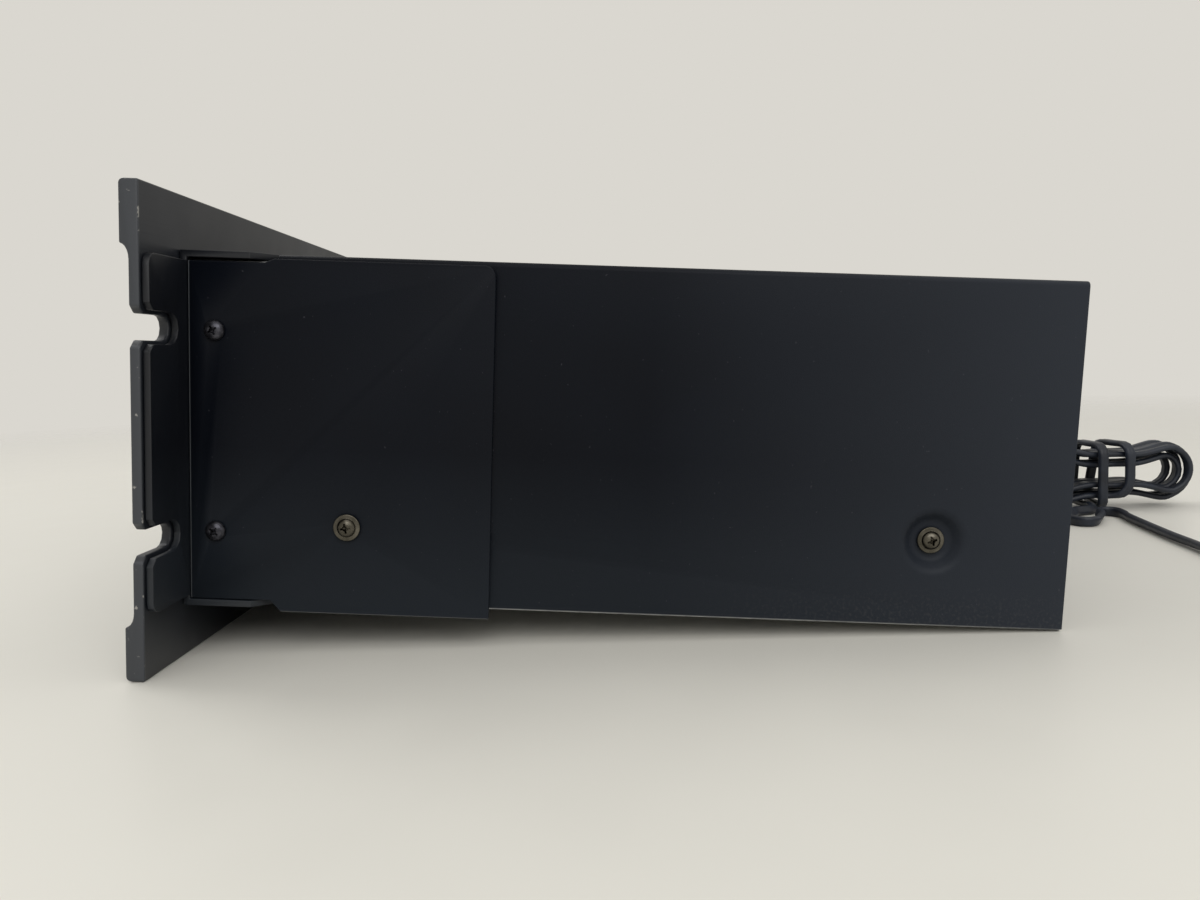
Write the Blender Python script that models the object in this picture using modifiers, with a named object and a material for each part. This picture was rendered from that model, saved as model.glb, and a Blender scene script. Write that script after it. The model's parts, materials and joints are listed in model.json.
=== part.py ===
"""A rack-mount compact disc player, three rack units high, modelled piece by piece in metres.

+X is to the right for someone who faces the front, the front faces -Y and +Z is up. The pieces are placed
from the back of the front panel (y = 0) and its lower edge (z = 0), and their parent empty centres the
player on the origin.
"""
import math

import bmesh
import bpy
from mathutils import Vector
from mathutils.kdtree import KDTree

MM = 0.001
DEGREE = math.pi / 180

# Clearances and facets
SEAT = 0.3 * MM
PLAY = 0.4 * MM
OVERRUN = 3 * MM
BITE = 0.6 * MM
EDGE = 1 * MM
WELD = 0.001 * MM
FINE = 32
ROUND = 20
COARSE = 12

# Front panel, a rack standard in height, width and slot pitch
PANEL_WIDTH = 482.6 * MM
PANEL_HEIGHT = 132.5 * MM
LIP_THICKNESS = 5.1 * MM
RECESS_DEPTH = 2.35 * MM
LOWER_LIP = 14.8 * MM
UPPER_LIP = 16.4 * MM
COVE = 4.1 * MM
LIP_CORNER = 1.3 * MM
SLOT_PITCH = 57.15 * MM
SLOT_HEIGHT = 6.9 * MM
SLOT_DEPTH = 16 * MM
SLOT_CHAMFER = 2 * MM
FACE_Y = RECESS_DEPTH - LIP_THICKNESS

# Case
CASE_WIDTH = 434 * MM
CASE_LENGTH = 255.1 * MM
CASE_BOTTOM = 16.6 * MM
CASE_TOP_MARGIN = 15.7 * MM
COVER_STEEL = 1 * MM
PAN_STEEL = 1.2 * MM
WEB_STEEL = 1.9 * MM
PLATE_STEEL = 1.5 * MM
CASE_TOP = PANEL_HEIGHT - CASE_TOP_MARGIN
WEB_FRONT = SEAT
WEB_BACK = WEB_FRONT + WEB_STEEL
COVER_INNER_X = CASE_WIDTH / 2 - COVER_STEEL
WALL_OUTER_X = COVER_INNER_X - SEAT
WALL_INNER_X = WALL_OUTER_X - PAN_STEEL
PAN_TOP = CASE_BOTTOM + PAN_STEEL
PLATE_INNER_X = CASE_WIDTH / 2 + SEAT
PLATE_OUTER_X = PLATE_INNER_X + PLATE_STEEL
FLANGE_DEPTH = 26.7 * MM
FLANGE_END = WEB_FRONT + FLANGE_DEPTH
FLANGE_DROP = 1.3 * MM
FLANGE_RISE = 0.3 * MM
FLANGE_BOTTOM = CASE_BOTTOM - FLANGE_DROP
FLANGE_TOP = CASE_TOP + FLANGE_RISE
WALL_TOP = FLANGE_TOP - WEB_STEEL - SEAT


def clear_scene():
    for existing in list(bpy.data.objects):
        bpy.data.objects.remove(existing, do_unlink=True)


def new_collection(name):
    collection = bpy.data.collections.new(name)
    bpy.context.scene.collection.children.link(collection)
    return collection


def material(name, colour, roughness, metallic=0.0):
    finish = bpy.data.materials.new(name)
    finish.use_nodes = True
    surface = finish.node_tree.nodes["Principled BSDF"]
    surface.inputs["Base Color"].default_value = (*colour, 1)
    surface.inputs["Roughness"].default_value = roughness
    surface.inputs["Metallic"].default_value = metallic
    finish.diffuse_color = (*colour, 1)
    return finish


clear_scene()
PIECES = new_collection("cd_player")
HELPERS = new_collection("cutters")

ANODISED = material("black_anodised_aluminium", (0.02, 0.021, 0.023), 0.45, 0.6)
PAINTED = material("black_painted_steel", (0.016, 0.018, 0.022), 0.5)
ZINC = material("zinc_plated_steel", (0.55, 0.56, 0.56), 0.35, 1.0)
BLACK_SCREW = material("blackened_screw", (0.03, 0.03, 0.03), 0.35, 0.8)
NICKEL = material("nickel_plated_screw", (0.6, 0.53, 0.38), 0.3, 1.0)
BLACK_PLASTIC = material("black_moulded_abs", (0.02, 0.02, 0.021), 0.5)
GREY_PLASTIC = material("grey_moulded_abs", (0.16, 0.16, 0.165), 0.5)
WHITE_ACETAL = material("white_acetal", (0.75, 0.74, 0.7), 0.45)
SMOKED = material("smoked_acrylic", (0.01, 0.012, 0.014), 0.1)
BOARD_GREEN = material("circuit_board", (0.03, 0.16, 0.06), 0.5)
CORD_PVC = material("black_pvc_cord", (0.012, 0.013, 0.016), 0.45)
RUBBER = material("black_rubber", (0.015, 0.015, 0.015), 0.7)
COPPER = material("transformer_core", (0.28, 0.2, 0.12), 0.5, 0.5)

FRAME = bpy.data.objects.new("player_frame", None)
PIECES.objects.link(FRAME)


def add_piece(name, mesh, location, finish, rotation=(0, 0, 0)):
    """A finished piece where a material is given, and otherwise a shape that only cuts or joins."""
    piece = bpy.data.objects.new(name, mesh)
    piece.location = location
    piece.rotation_euler = rotation
    piece.parent = FRAME
    if finish:
        PIECES.objects.link(piece)
        mesh.materials.append(finish)
    else:
        HELPERS.objects.link(piece)
        piece.hide_render = True
        piece.display_type = "WIRE"
    return piece


def block(name, low, high, finish=None):
    """A box between two opposite corners, with its origin at its middle."""
    low, high = Vector(low), Vector(high)
    body = bmesh.new()
    bmesh.ops.create_cube(body, size=1)
    bmesh.ops.scale(body, vec=high - low, verts=body.verts)
    mesh = bpy.data.meshes.new(name)
    body.to_mesh(mesh)
    body.free()
    return add_piece(name, mesh, (low + high) / 2, finish)


AXIS_TURNS = {"x": (0, math.pi / 2, 0), "y": (-math.pi / 2, 0, 0), "z": (0, 0, 0)}


def drum(name, radius, start, length, axis, finish=None, sides=ROUND, end_radius=None):
    """A cylinder, or a cone, from the middle of its first end along +axis."""
    body = bmesh.new()
    bmesh.ops.create_cone(
        body, cap_ends=True, segments=sides, radius1=radius,
        radius2=radius if end_radius is None else end_radius, depth=length,
    )
    mesh = bpy.data.meshes.new(name)
    bmesh.ops.translate(body, vec=(0, 0, length / 2), verts=body.verts)
    body.to_mesh(mesh)
    body.free()
    mesh.shade_smooth()
    mesh.set_sharp_from_angle(angle=40 * DEGREE)
    return add_piece(name, mesh, start, finish, AXIS_TURNS[axis])


def turned(name, profile, location, axis, finish=None, steps=ROUND, ring=False, flip=False):
    """A profile of (radius, height) points, down its outer side, turned about an axis at its location."""
    mesh = bpy.data.meshes.new(name)
    edges = [(i, i + 1) for i in range(len(profile) - 1)]
    if ring:
        edges.append((len(profile) - 1, 0))
    mesh.from_pydata([(radius, 0, height) for radius, height in profile], edges, [])
    rotation = AXIS_TURNS[axis]
    if flip:
        rotation = tuple(-turn if turn else 0 for turn in rotation)
    piece = add_piece(name, mesh, location, finish, rotation)
    screw = piece.modifiers.new("turn", "SCREW")
    screw.steps = steps
    screw.render_steps = steps
    screw.use_merge_vertices = True
    screw.merge_threshold = WELD
    screw.use_smooth_shade = False
    return piece


PLANE_TURNS = {"xy": (0, 0, 0), "xz": (math.pi / 2, 0, 0), "yz": (math.pi / 2, 0, math.pi / 2)}


def slab(name, outlines, thickness, plane, location=(0, 0, 0), finish=None):
    """A flat outline in a plane, with any further outlines as holes, thickened evenly about that plane."""
    curve = bpy.data.curves.new(name, "CURVE")
    curve.dimensions = "2D"
    curve.fill_mode = "BOTH"
    curve.extrude = thickness / 2
    for outline in outlines:
        spline = curve.splines.new("POLY")
        spline.points.add(len(outline) - 1)
        for point, (u, v) in zip(spline.points, outline):
            point.co = (u, v, 0, 1)
        spline.use_cyclic_u = True
    guide = bpy.data.objects.new(name, curve)
    HELPERS.objects.link(guide)
    mesh = bpy.data.meshes.new_from_object(guide.evaluated_get(bpy.context.evaluated_depsgraph_get()))
    bpy.data.objects.remove(guide)
    bpy.data.curves.remove(curve)
    body = bmesh.new()
    body.from_mesh(mesh)
    bmesh.ops.remove_doubles(body, verts=body.verts, dist=WELD)
    bmesh.ops.recalc_face_normals(body, faces=body.faces)
    body.to_mesh(mesh)
    body.free()
    return add_piece(name, mesh, location, finish, PLANE_TURNS[plane])


def combine(piece, operation, tools):
    for tool in tools:
        change = piece.modifiers.new(tool.name, "BOOLEAN")
        change.operation = operation
        change.solver = "EXACT"
        change.object = tool
    return piece


def join(piece, *tools):
    return combine(piece, "UNION", tools)


def cut(piece, *tools):
    return combine(piece, "DIFFERENCE", tools)


def drill(piece, name, radius, start, length, axis, sides=ROUND):
    """Cut a round hole from a start point along +axis."""
    cut(piece, drum(name, radius, start, length, axis, sides=sides))


def arc(centre, radii, start, end, count):
    """Points of an elliptical arc, with its angles in degrees."""
    angles = [math.radians(start + (end - start) * i / count) for i in range(count + 1)]
    return [(centre[0] + radii[0] * math.cos(a), centre[1] + radii[1] * math.sin(a)) for a in angles]


# Layout of the front, from its left end to its right
LEFT_COLUMN = 27 * MM
MOUTH_MARGIN = 25 * MM
TRAY_FRONT_WIDTH = 140 * MM
OPEN_COLUMN = 16 * MM
DIAL_INSET = 45 * MM
LEFT_X = LEFT_COLUMN - CASE_WIDTH / 2
TRAY_X = LEFT_X + MOUTH_MARGIN + TRAY_FRONT_WIDTH / 2
OPEN_X = TRAY_X + TRAY_FRONT_WIDTH / 2 + OPEN_COLUMN
DIAL_X = CASE_WIDTH / 2 - DIAL_INSET
MIDDLE_Z = PANEL_HEIGHT / 2

# Heights of the loading mechanism, from the base pan upwards
DECK_DROP = 50.8 * MM
DECK_THICKNESS = 2.4 * MM
TRAY_RISE = 11.6 * MM
TRAY_THICKNESS = 10.5 * MM
DECK_BOTTOM = CASE_TOP - DECK_DROP
DECK_TOP = DECK_BOTTOM + DECK_THICKNESS
TRAY_BOTTOM = DECK_TOP + TRAY_RISE
TRAY_TOP = TRAY_BOTTOM + TRAY_THICKNESS

# Rows of the front
KEY_ROW_RISE = 20 * MM
KEY_Z = LOWER_LIP + COVE + KEY_ROW_RISE
TRAY_Z = (TRAY_BOTTOM + TRAY_TOP) / 2

# Tray and its front
TRAY_WIDTH = 134 * MM
TRAY_LENGTH = 184 * MM
TRAY_FRONT_HEIGHT = 20 * MM
TRAY_FRONT_PROUD = 1.5 * MM
TRAY_SETTING = 0.7 * MM
MOUTH_GAP = 0.5 * MM
WEB_MOUTH_GAP = 1.5 * MM
DISC_RADIUS = 60 * MM
DISC_MARGIN = 1.5 * MM
DISC_Y = 85 * MM
DISC_RECESS = 5 * MM
TRAY_SLOT_WIDTH = 48 * MM
TRAY_SLOT_LEAD = 18 * MM
TRAY_START = -TRAY_SETTING
TRAY_END = TRAY_START + TRAY_LENGTH

# Gears of the tray, in one module
MODULE = 1 * MM
PRESSURE_ANGLE = 20
ADDENDUM_SHARE = 0.8
DEDENDUM_SHARE = 1.2
BACKLASH = 0.25 * MM
GEAR_TEETH = 24
PINION_TEETH = 12
RACK_TEETH = 51
RACK_BACK = 2.5 * MM
RACK_EDGE = 3.4 * MM
RACK_HEIGHT = 5 * MM
GEAR_Y = 28.5 * MM
GEAR_THICKNESS = 6.5 * MM
GEAR_CLEARANCE = 0.5 * MM
PINION_HEIGHT = 5 * MM
PULLEY_RADIUS = 11.5 * MM
PULLEY_THICKNESS = 3 * MM
PULLEY_GROOVE = 1.2 * MM
MOTOR_PULLEY_RADIUS = 3.6 * MM
BELT_THICKNESS = 0.9 * MM
BELT_HEIGHT = 1.2 * MM
BELT_SPAN = 40 * MM
AXLE_RADIUS = 1.8 * MM
MESH_SLACK = 0.1 * MM
GEAR_RADIUS = MODULE * GEAR_TEETH / 2
PINION_RADIUS = MODULE * PINION_TEETH / 2
RACK_LINE_X = TRAY_X - TRAY_WIDTH / 2 + RACK_EDGE + RACK_BACK + MODULE * DEDENDUM_SHARE
GEAR_X = RACK_LINE_X + GEAR_RADIUS + MESH_SLACK
PULLEY_X = GEAR_X + GEAR_RADIUS + PINION_RADIUS + MESH_SLACK
MOTOR_X = PULLEY_X + BELT_SPAN
PULLEY_BOTTOM = DECK_TOP + GEAR_CLEARANCE
PINION_BOTTOM = PULLEY_BOTTOM + PULLEY_THICKNESS
GEAR_TOP = TRAY_BOTTOM - GEAR_CLEARANCE
GEAR_BOTTOM = GEAR_TOP - GEAR_THICKNESS

# Traverse, the tipping frame that carries the spindle and the pickup
TRAVERSE_HALF_WIDTH = 35 * MM
TRAVERSE_FRONT = 47 * MM
TRAVERSE_END = 168 * MM
TRAVERSE_THICKNESS = 3 * MM
TRAVERSE_LIFT = 1.6 * MM
SLED_WINDOW_HALF = 19 * MM
SLED_WINDOW_START = 93 * MM
SLED_WINDOW_END = 157 * MM
PIVOT_Y = 160 * MM
PIVOT_RADIUS = 1.3 * MM
PIVOT_LENGTH = 6 * MM
PIVOT_EAR = 8 * MM
PIVOT_EAR_GAP = 1 * MM
OPENING_MARGIN = 4.5 * MM
TRAVERSE_BOTTOM = DECK_TOP + TRAVERSE_LIFT
TRAVERSE_TOP = TRAVERSE_BOTTOM + TRAVERSE_THICKNESS
TRAVERSE_Z = (TRAVERSE_BOTTOM + TRAVERSE_TOP) / 2
TIP_ANGLE = 6

# Cam slider, which carries the traverse's front pin in a slanted slot
CAM_THICKNESS = 2 * MM
CAM_TRAVEL = 20 * MM
CAM_WALL = 4 * MM
CAM_LIP = 2.5 * MM
CAM_PIN_RADIUS = 1.3 * MM
CAM_GAP = 1.7 * MM
CAM_BACK = TRAVERSE_FRONT - CAM_GAP
CAM_FRONT = CAM_BACK - CAM_THICKNESS
DECK_OPENING_FRONT = CAM_FRONT - SEAT
DECK_OPENING_END = 190 * MM
DECK_FRONT = 14 * MM
DECK_END = 196 * MM
TIP_DROP = (PIVOT_Y - CAM_FRONT) * math.sin(TIP_ANGLE * DEGREE)

# Controls of the front
POWER_BUTTON = (14 * MM, 12 * MM)
KEY = (22 * MM, 11 * MM)
OPEN_KEY = (12 * MM, 11 * MM)
KEY_PITCH = 27 * MM
KEY_NAMES = ("track_back", "track_forward", "play", "pause", "stop")
KEY_PROUD = 2.2 * MM
KEY_TRAVEL = 1 * MM
KEY_FLANGE = 1.4 * MM
KEY_FLANGE_THICKNESS = 1.2 * MM
WEB_KEY_GAP = 1.2 * MM
LEVEL_KNOB_RADIUS = 7 * MM
LEVEL_KNOB_LENGTH = 11 * MM
LEVEL_SHARE = 0.52
SHAFT_RADIUS = 3 * MM
POT_SHAFT_GAP = 0.5 * MM
JACK_DROP = 43.6 * MM
JACK_BARREL_RADIUS = 4.6 * MM
DISPLAY_HEIGHT = 30 * MM
DISPLAY_THICKNESS = 2.2 * MM
DISPLAY_MARGIN = 10 * MM
DISPLAY_GAP = 0.3 * MM
DISPLAY_REST = 3 * MM
RING_RADIUS = 34 * MM
DIAL_RADIUS = 23.6 * MM
SLEEVE_RADIUS = 9 * MM
PITCH_TRAVEL = 30 * MM
PITCH_STEM = (5 * MM, 2 * MM)
PITCH_DROP = 15 * MM
PITCH_SLOT_GAP = 0.5 * MM
JACK_Z = PANEL_HEIGHT - JACK_DROP
LEVEL_Z = KEY_Z + (JACK_Z - KEY_Z) * LEVEL_SHARE
DISPLAY_LOW_X = OPEN_X + OPEN_KEY[0] / 2 + DISPLAY_MARGIN
DISPLAY_HIGH_X = DIAL_X - RING_RADIUS - DISPLAY_MARGIN
DISPLAY_X = (DISPLAY_LOW_X + DISPLAY_HIGH_X) / 2
DISPLAY_HALF = (DISPLAY_HIGH_X - DISPLAY_LOW_X) / 2
PITCH_Z = TRAY_Z - DISPLAY_HEIGHT / 2 - PITCH_DROP


def key_places():
    """The centre of each transport key, spread evenly below the tray."""
    first = TRAY_X - KEY_PITCH * (len(KEY_NAMES) - 1) / 2
    return [(name, first + KEY_PITCH * i) for i, name in enumerate(KEY_NAMES)]


def buttons():
    """Each button as (name, x, width, height)."""
    found = [("power", LEFT_X, *POWER_BUTTON), ("open", OPEN_X, *OPEN_KEY)]
    return found + [(name, x, *KEY) for name, x in key_places()]


def front_openings(panel):
    """Cutters for the panel, or the wider ones for the web behind it."""
    low_y = -LIP_THICKNESS - OVERRUN if panel else WEB_FRONT - OVERRUN
    high_y = OVERRUN if panel else WEB_BACK + OVERRUN
    extra = 0 if panel else WEB_KEY_GAP - PLAY
    layer = "panel" if panel else "web"
    found = []

    def window(name, x, z, half_width, half_height):
        low = (x - half_width, low_y, z - half_height)
        found.append(block(f"{layer}_{name}_opening", low, (x + half_width, high_y, z + half_height)))

    def hole(name, x, z, radius):
        found.append(drum(f"{layer}_{name}_hole", radius, (x, low_y, z), high_y - low_y, "y"))

    for name, x, width, height in buttons():
        window(name, x, KEY_Z, width / 2 + PLAY + extra, height / 2 + PLAY + extra)
    if panel:
        window("mouth", TRAY_X, TRAY_Z, TRAY_FRONT_WIDTH / 2 + MOUTH_GAP, TRAY_FRONT_HEIGHT / 2 + MOUTH_GAP)
        window("display", DISPLAY_X, TRAY_Z, DISPLAY_HALF, DISPLAY_HEIGHT / 2)
    else:
        mouth_low = (
            TRAY_X - TRAY_WIDTH / 2 - WEB_MOUTH_GAP, low_y, TRAY_BOTTOM - RACK_HEIGHT - WEB_MOUTH_GAP
        )
        mouth_high = (TRAY_X + TRAY_WIDTH / 2 + WEB_MOUTH_GAP, high_y, TRAY_TOP + WEB_MOUTH_GAP)
        found.append(block("web_mouth_opening", mouth_low, mouth_high))
        window("display", DISPLAY_X, TRAY_Z, DISPLAY_HALF - DISPLAY_REST, DISPLAY_HEIGHT / 2 - DISPLAY_REST)
    slot_half = PITCH_TRAVEL + PITCH_STEM[0] / 2 + PITCH_SLOT_GAP + extra
    window("pitch", DISPLAY_X, PITCH_Z, slot_half, PITCH_STEM[1] / 2 + PITCH_SLOT_GAP + extra)
    hole("level", LEFT_X, LEVEL_Z, SHAFT_RADIUS + POT_SHAFT_GAP + extra)
    hole("jack", LEFT_X, JACK_Z, JACK_BARREL_RADIUS + SEAT + extra)
    hole("dial", DIAL_X, MIDDLE_Z, SLEEVE_RADIUS + POT_SHAFT_GAP + extra)
    return found


def ear_slot(name, side, z, height, depth, end_x, low_y, high_y):
    """An open slot with a rounded inner end and a chamfered mouth, cut inwards from the end of an ear."""
    radius = height / 2
    mouth = radius + SLOT_CHAMFER
    inner = end_x - depth + radius
    outline = [(end_x + OVERRUN, z - mouth), (end_x + OVERRUN, z + mouth), (end_x, z + mouth)]
    outline.append((end_x - SLOT_CHAMFER, z + radius))
    outline += arc((inner, z), (radius, radius), 90, 270, 6)
    outline += [(end_x - SLOT_CHAMFER, z - radius), (end_x, z - mouth)]
    outline = [(side * x, height_at) for x, height_at in outline]
    return slab(name, [outline], high_y - low_y, "xz", (0, (low_y + high_y) / 2, 0))


def ear_slots(layer, height, depth, end_x, low_y, high_y):
    found = []
    for side in (1, -1):
        for level in (1, -1):
            name = f"{layer}_slot_{side}_{level}"
            z = MIDDLE_Z + level * SLOT_PITCH / 2
            found.append(ear_slot(name, side, z, height, depth, end_x, low_y, high_y))
    return found


def make_front_panel():
    """An extrusion: flat at the back, with a lip along each edge and a cove from each lip to the recess."""
    profile = [(0, 0)]
    profile += arc((-LIP_THICKNESS + LIP_CORNER, LIP_CORNER), (LIP_CORNER, LIP_CORNER), 270, 180, 4)
    profile += arc((-LIP_THICKNESS, LOWER_LIP + COVE), (RECESS_DEPTH, COVE), -90, 0, 5)
    profile += arc((-LIP_THICKNESS, PANEL_HEIGHT - UPPER_LIP - COVE), (RECESS_DEPTH, COVE), 0, 90, 5)
    top_corner = (-LIP_THICKNESS + LIP_CORNER, PANEL_HEIGHT - LIP_CORNER)
    profile += arc(top_corner, (LIP_CORNER, LIP_CORNER), 180, 90, 4)
    profile.append((0, PANEL_HEIGHT))
    panel = slab("front_panel", [profile], PANEL_WIDTH, "yz", finish=ANODISED)
    low_y = -LIP_THICKNESS - OVERRUN
    cut(panel, *ear_slots("panel", SLOT_HEIGHT, SLOT_DEPTH, PANEL_WIDTH / 2, low_y, OVERRUN))
    cut(panel, *front_openings(True))


# Sub-panel: a folded channel whose web doubles the ears
WEB_END_INSET = 1.1 * MM
EAR_MARGIN = 18.3 * MM
FLANGE_OVERHANG = 2 * MM
FLANGE_CHAMFER = 7 * MM
WEB_SLOT_HEIGHT_EXTRA = 2 * MM
WEB_SLOT_DEPTH_EXTRA = 1 * MM
TAB_DEPTH = 23 * MM
TAB_MARGIN = 3.5 * MM
EAR_CORNER = 3 * MM


def make_sub_panel():
    """A channel along the front, its flanges cut off at the corners, with an ear on each end of its web."""
    end_x = PANEL_WIDTH / 2 - WEB_END_INSET
    ear_low, ear_high = EAR_MARGIN, PANEL_HEIGHT - EAR_MARGIN
    flange_x = CASE_WIDTH / 2 + FLANGE_OVERHANG
    channel = [
        (WEB_FRONT, FLANGE_BOTTOM), (FLANGE_END, FLANGE_BOTTOM), (FLANGE_END, FLANGE_BOTTOM + WEB_STEEL)
    ]
    channel += [(WEB_BACK, FLANGE_BOTTOM + WEB_STEEL), (WEB_BACK, FLANGE_TOP - WEB_STEEL)]
    channel += [(FLANGE_END, FLANGE_TOP - WEB_STEEL), (FLANGE_END, FLANGE_TOP), (WEB_FRONT, FLANGE_TOP)]
    web = slab("sub_panel", [channel], 2 * flange_x, "yz", finish=PAINTED)
    ear = [(flange_x - BITE, ear_low)]
    ear += arc((end_x - EAR_CORNER, ear_low + EAR_CORNER), (EAR_CORNER, EAR_CORNER), -90, 0, 3)
    ear += arc((end_x - EAR_CORNER, ear_high - EAR_CORNER), (EAR_CORNER, EAR_CORNER), 0, 90, 3)
    ear.append((flange_x - BITE, ear_high))
    corner = [
        (flange_x + OVERRUN, FLANGE_END - FLANGE_CHAMFER - OVERRUN),
        (flange_x + OVERRUN, FLANGE_END + OVERRUN),
        (flange_x - FLANGE_CHAMFER - OVERRUN, FLANGE_END + OVERRUN),
    ]
    for side in (1, -1):
        outline = [(side * x, z) for x, z in ear]
        join(web, slab(f"ear_{side}", [outline], WEB_STEEL, "xz", (0, (WEB_FRONT + WEB_BACK) / 2, 0)))
        outline = [(side * x, y) for x, y in corner]
        cut(web, slab(f"flange_corner_{side}", [outline], PANEL_HEIGHT, "xy", (0, 0, MIDDLE_Z)))
    for side in (1, -1):
        inner, outer = side * (WALL_OUTER_X + SEAT), side * (PLATE_INNER_X - SEAT)
        low = (min(inner, outer), WEB_BACK - BITE, FLANGE_BOTTOM + TAB_MARGIN)
        high = (max(inner, outer), WEB_FRONT + TAB_DEPTH, FLANGE_TOP - TAB_MARGIN)
        join(web, block(f"tab_{side}", low, high))
    slot_height = SLOT_HEIGHT + WEB_SLOT_HEIGHT_EXTRA
    slot_depth = SLOT_DEPTH - WEB_END_INSET + WEB_SLOT_DEPTH_EXTRA
    cut(web, *ear_slots("web", slot_height, slot_depth, end_x, WEB_FRONT - OVERRUN, WEB_BACK + OVERRUN))
    cut(web, *front_openings(False))
    return web


# Screws of the sides, each as (name, y, z above the case's underside, kind)
PAN_HEAD_RADIUS = 3 * MM
PAN_HEAD_HEIGHT = 2.1 * MM
FLANGED_HEAD_RADIUS = 2.7 * MM
FLANGED_HEAD_HEIGHT = 2.6 * MM
WASHER_RADIUS = 3.9 * MM
WASHER_THICKNESS = 0.8 * MM
SHANK_RADIUS = 1.4 * MM
SHANK_LENGTH = 6.5 * MM
SCREW_HOLE_GAP = 0.3 * MM
DIMPLE_RADIUS = 8.75 * MM
DIMPLE_FLAT = 5.9 * MM
DIMPLE_DEPTH = 3.5 * MM
UPPER_SCREW_DROP = 21.9 * MM
SIDE_SCREWS = (
    ("bracket_screw_upper", 10 * MM, CASE_TOP - CASE_BOTTOM - UPPER_SCREW_DROP, "pan"),
    ("bracket_screw_lower", 10 * MM, 20.9 * MM, "pan"),
    ("bracket_screw_rear", 48 * MM, 23.3 * MM, "flanged"),
    ("cover_screw", 216.5 * MM, 24.9 * MM, "cover"),
)


def side_screw_holes():
    radius = SHANK_RADIUS + SCREW_HOLE_GAP
    start_x = -CASE_WIDTH / 2 - OVERRUN
    for name, y, rise, _ in SIDE_SCREWS:
        start = (start_x, y, CASE_BOTTOM + rise)
        yield drum(f"{name}_holes", radius, start, CASE_WIDTH + 2 * OVERRUN, "x", sides=COARSE)


def screw_profile(kind):
    """Dome head, any flange under it, and the shank, from the top down; zero height is the seat."""
    head_radius = PAN_HEAD_RADIUS if kind == "pan" else FLANGED_HEAD_RADIUS
    head_height = PAN_HEAD_HEIGHT if kind == "pan" else FLANGED_HEAD_HEIGHT
    profile = [(0, head_height)]
    profile += [(u, v) for u, v in arc((0, head_height / 2), (head_radius, head_height / 2), 60, 0, 2)]
    if kind == "pan":
        profile.append((head_radius, SEAT))
    else:
        profile += [(head_radius, WASHER_THICKNESS + SEAT), (WASHER_RADIUS, WASHER_THICKNESS + SEAT)]
        profile.append((WASHER_RADIUS, SEAT))
    return profile + [(SHANK_RADIUS, SEAT), (SHANK_RADIUS, SEAT - SHANK_LENGTH), (0, SEAT - SHANK_LENGTH)]


def make_side_screws():
    for side, hand in ((1, "right"), (-1, "left")):
        for name, y, rise, kind in SIDE_SCREWS:
            seat_x = CASE_WIDTH / 2 - DIMPLE_DEPTH if kind == "cover" else PLATE_OUTER_X
            finish = BLACK_SCREW if kind == "pan" else NICKEL
            place = (side * seat_x, y, CASE_BOTTOM + rise)
            turned(f"{name}_{hand}", screw_profile(kind), place, "x", finish, COARSE, flip=side < 0)


def dimpled(piece, layer, outer_x, steel, radius, flat, depth):
    """Press a round dimple for the cover's screw into each side of a sheet, whose outer face is at outer_x."""
    _, y, rise, _ = SIDE_SCREWS[-1]
    slope = (radius - flat) / depth
    wall = steel * math.hypot(1, slope)
    for side in (1, -1):
        hand = "right" if side > 0 else "left"
        boss_start = (side * (outer_x - steel / 2), y, CASE_BOTTOM + rise)
        boss_length = depth + steel / 2
        boss_radius = radius + wall - slope * steel / 2
        boss_flat = boss_radius - slope * boss_length
        cavity_start = (side * (outer_x + OVERRUN), y, CASE_BOTTOM + rise)
        cavity_radius = radius + slope * OVERRUN
        boss = drum(f"{layer}_boss_{hand}", boss_radius, boss_start, boss_length, "x", end_radius=boss_flat)
        cavity = drum(
            f"{layer}_dimple_{hand}", cavity_radius, cavity_start, depth + OVERRUN, "x", end_radius=flat,
        )
        if side > 0:
            boss.rotation_euler = (0, -math.pi / 2, 0)
            cavity.rotation_euler = (0, -math.pi / 2, 0)
        join(piece, boss)
        cut(piece, cavity)


# Side plates
PLATE_END = 89.2 * MM
PLATE_TOP_DROP = 1.4 * MM
PLATE_FOOT = 2.3 * MM
PLATE_CORNER = 3 * MM
NOTCH_DROP = 0.9 * MM
NOTCH_TOP_START = 24 * MM
NOTCH_STEP = 3 * MM
NOTCH_BOTTOM_START = 25.5 * MM


def make_side_plates(holes):
    front = WEB_BACK + SEAT
    top = CASE_TOP - PLATE_TOP_DROP
    foot = CASE_BOTTOM - PLATE_FOOT
    notch_low = FLANGE_BOTTOM + WEB_STEEL + SEAT
    notch_high = FLANGE_TOP - WEB_STEEL - NOTCH_DROP
    outline = [(front, notch_low), (NOTCH_BOTTOM_START, notch_low), (NOTCH_BOTTOM_START + NOTCH_STEP, foot)]
    outline.append((PLATE_END, foot))
    outline += arc((PLATE_END - PLATE_CORNER, top - PLATE_CORNER), (PLATE_CORNER, PLATE_CORNER), 0, 90, 4)
    outline += [(NOTCH_TOP_START + NOTCH_STEP, top), (NOTCH_TOP_START, notch_high), (front, notch_high)]
    for side, hand in ((1, "right"), (-1, "left")):
        x = side * (PLATE_INNER_X + PLATE_OUTER_X) / 2
        plate = slab(f"side_plate_{hand}", [outline], PLATE_STEEL, "yz", (x, 0, 0), PAINTED)
        cut(plate, *holes[:3])


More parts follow.
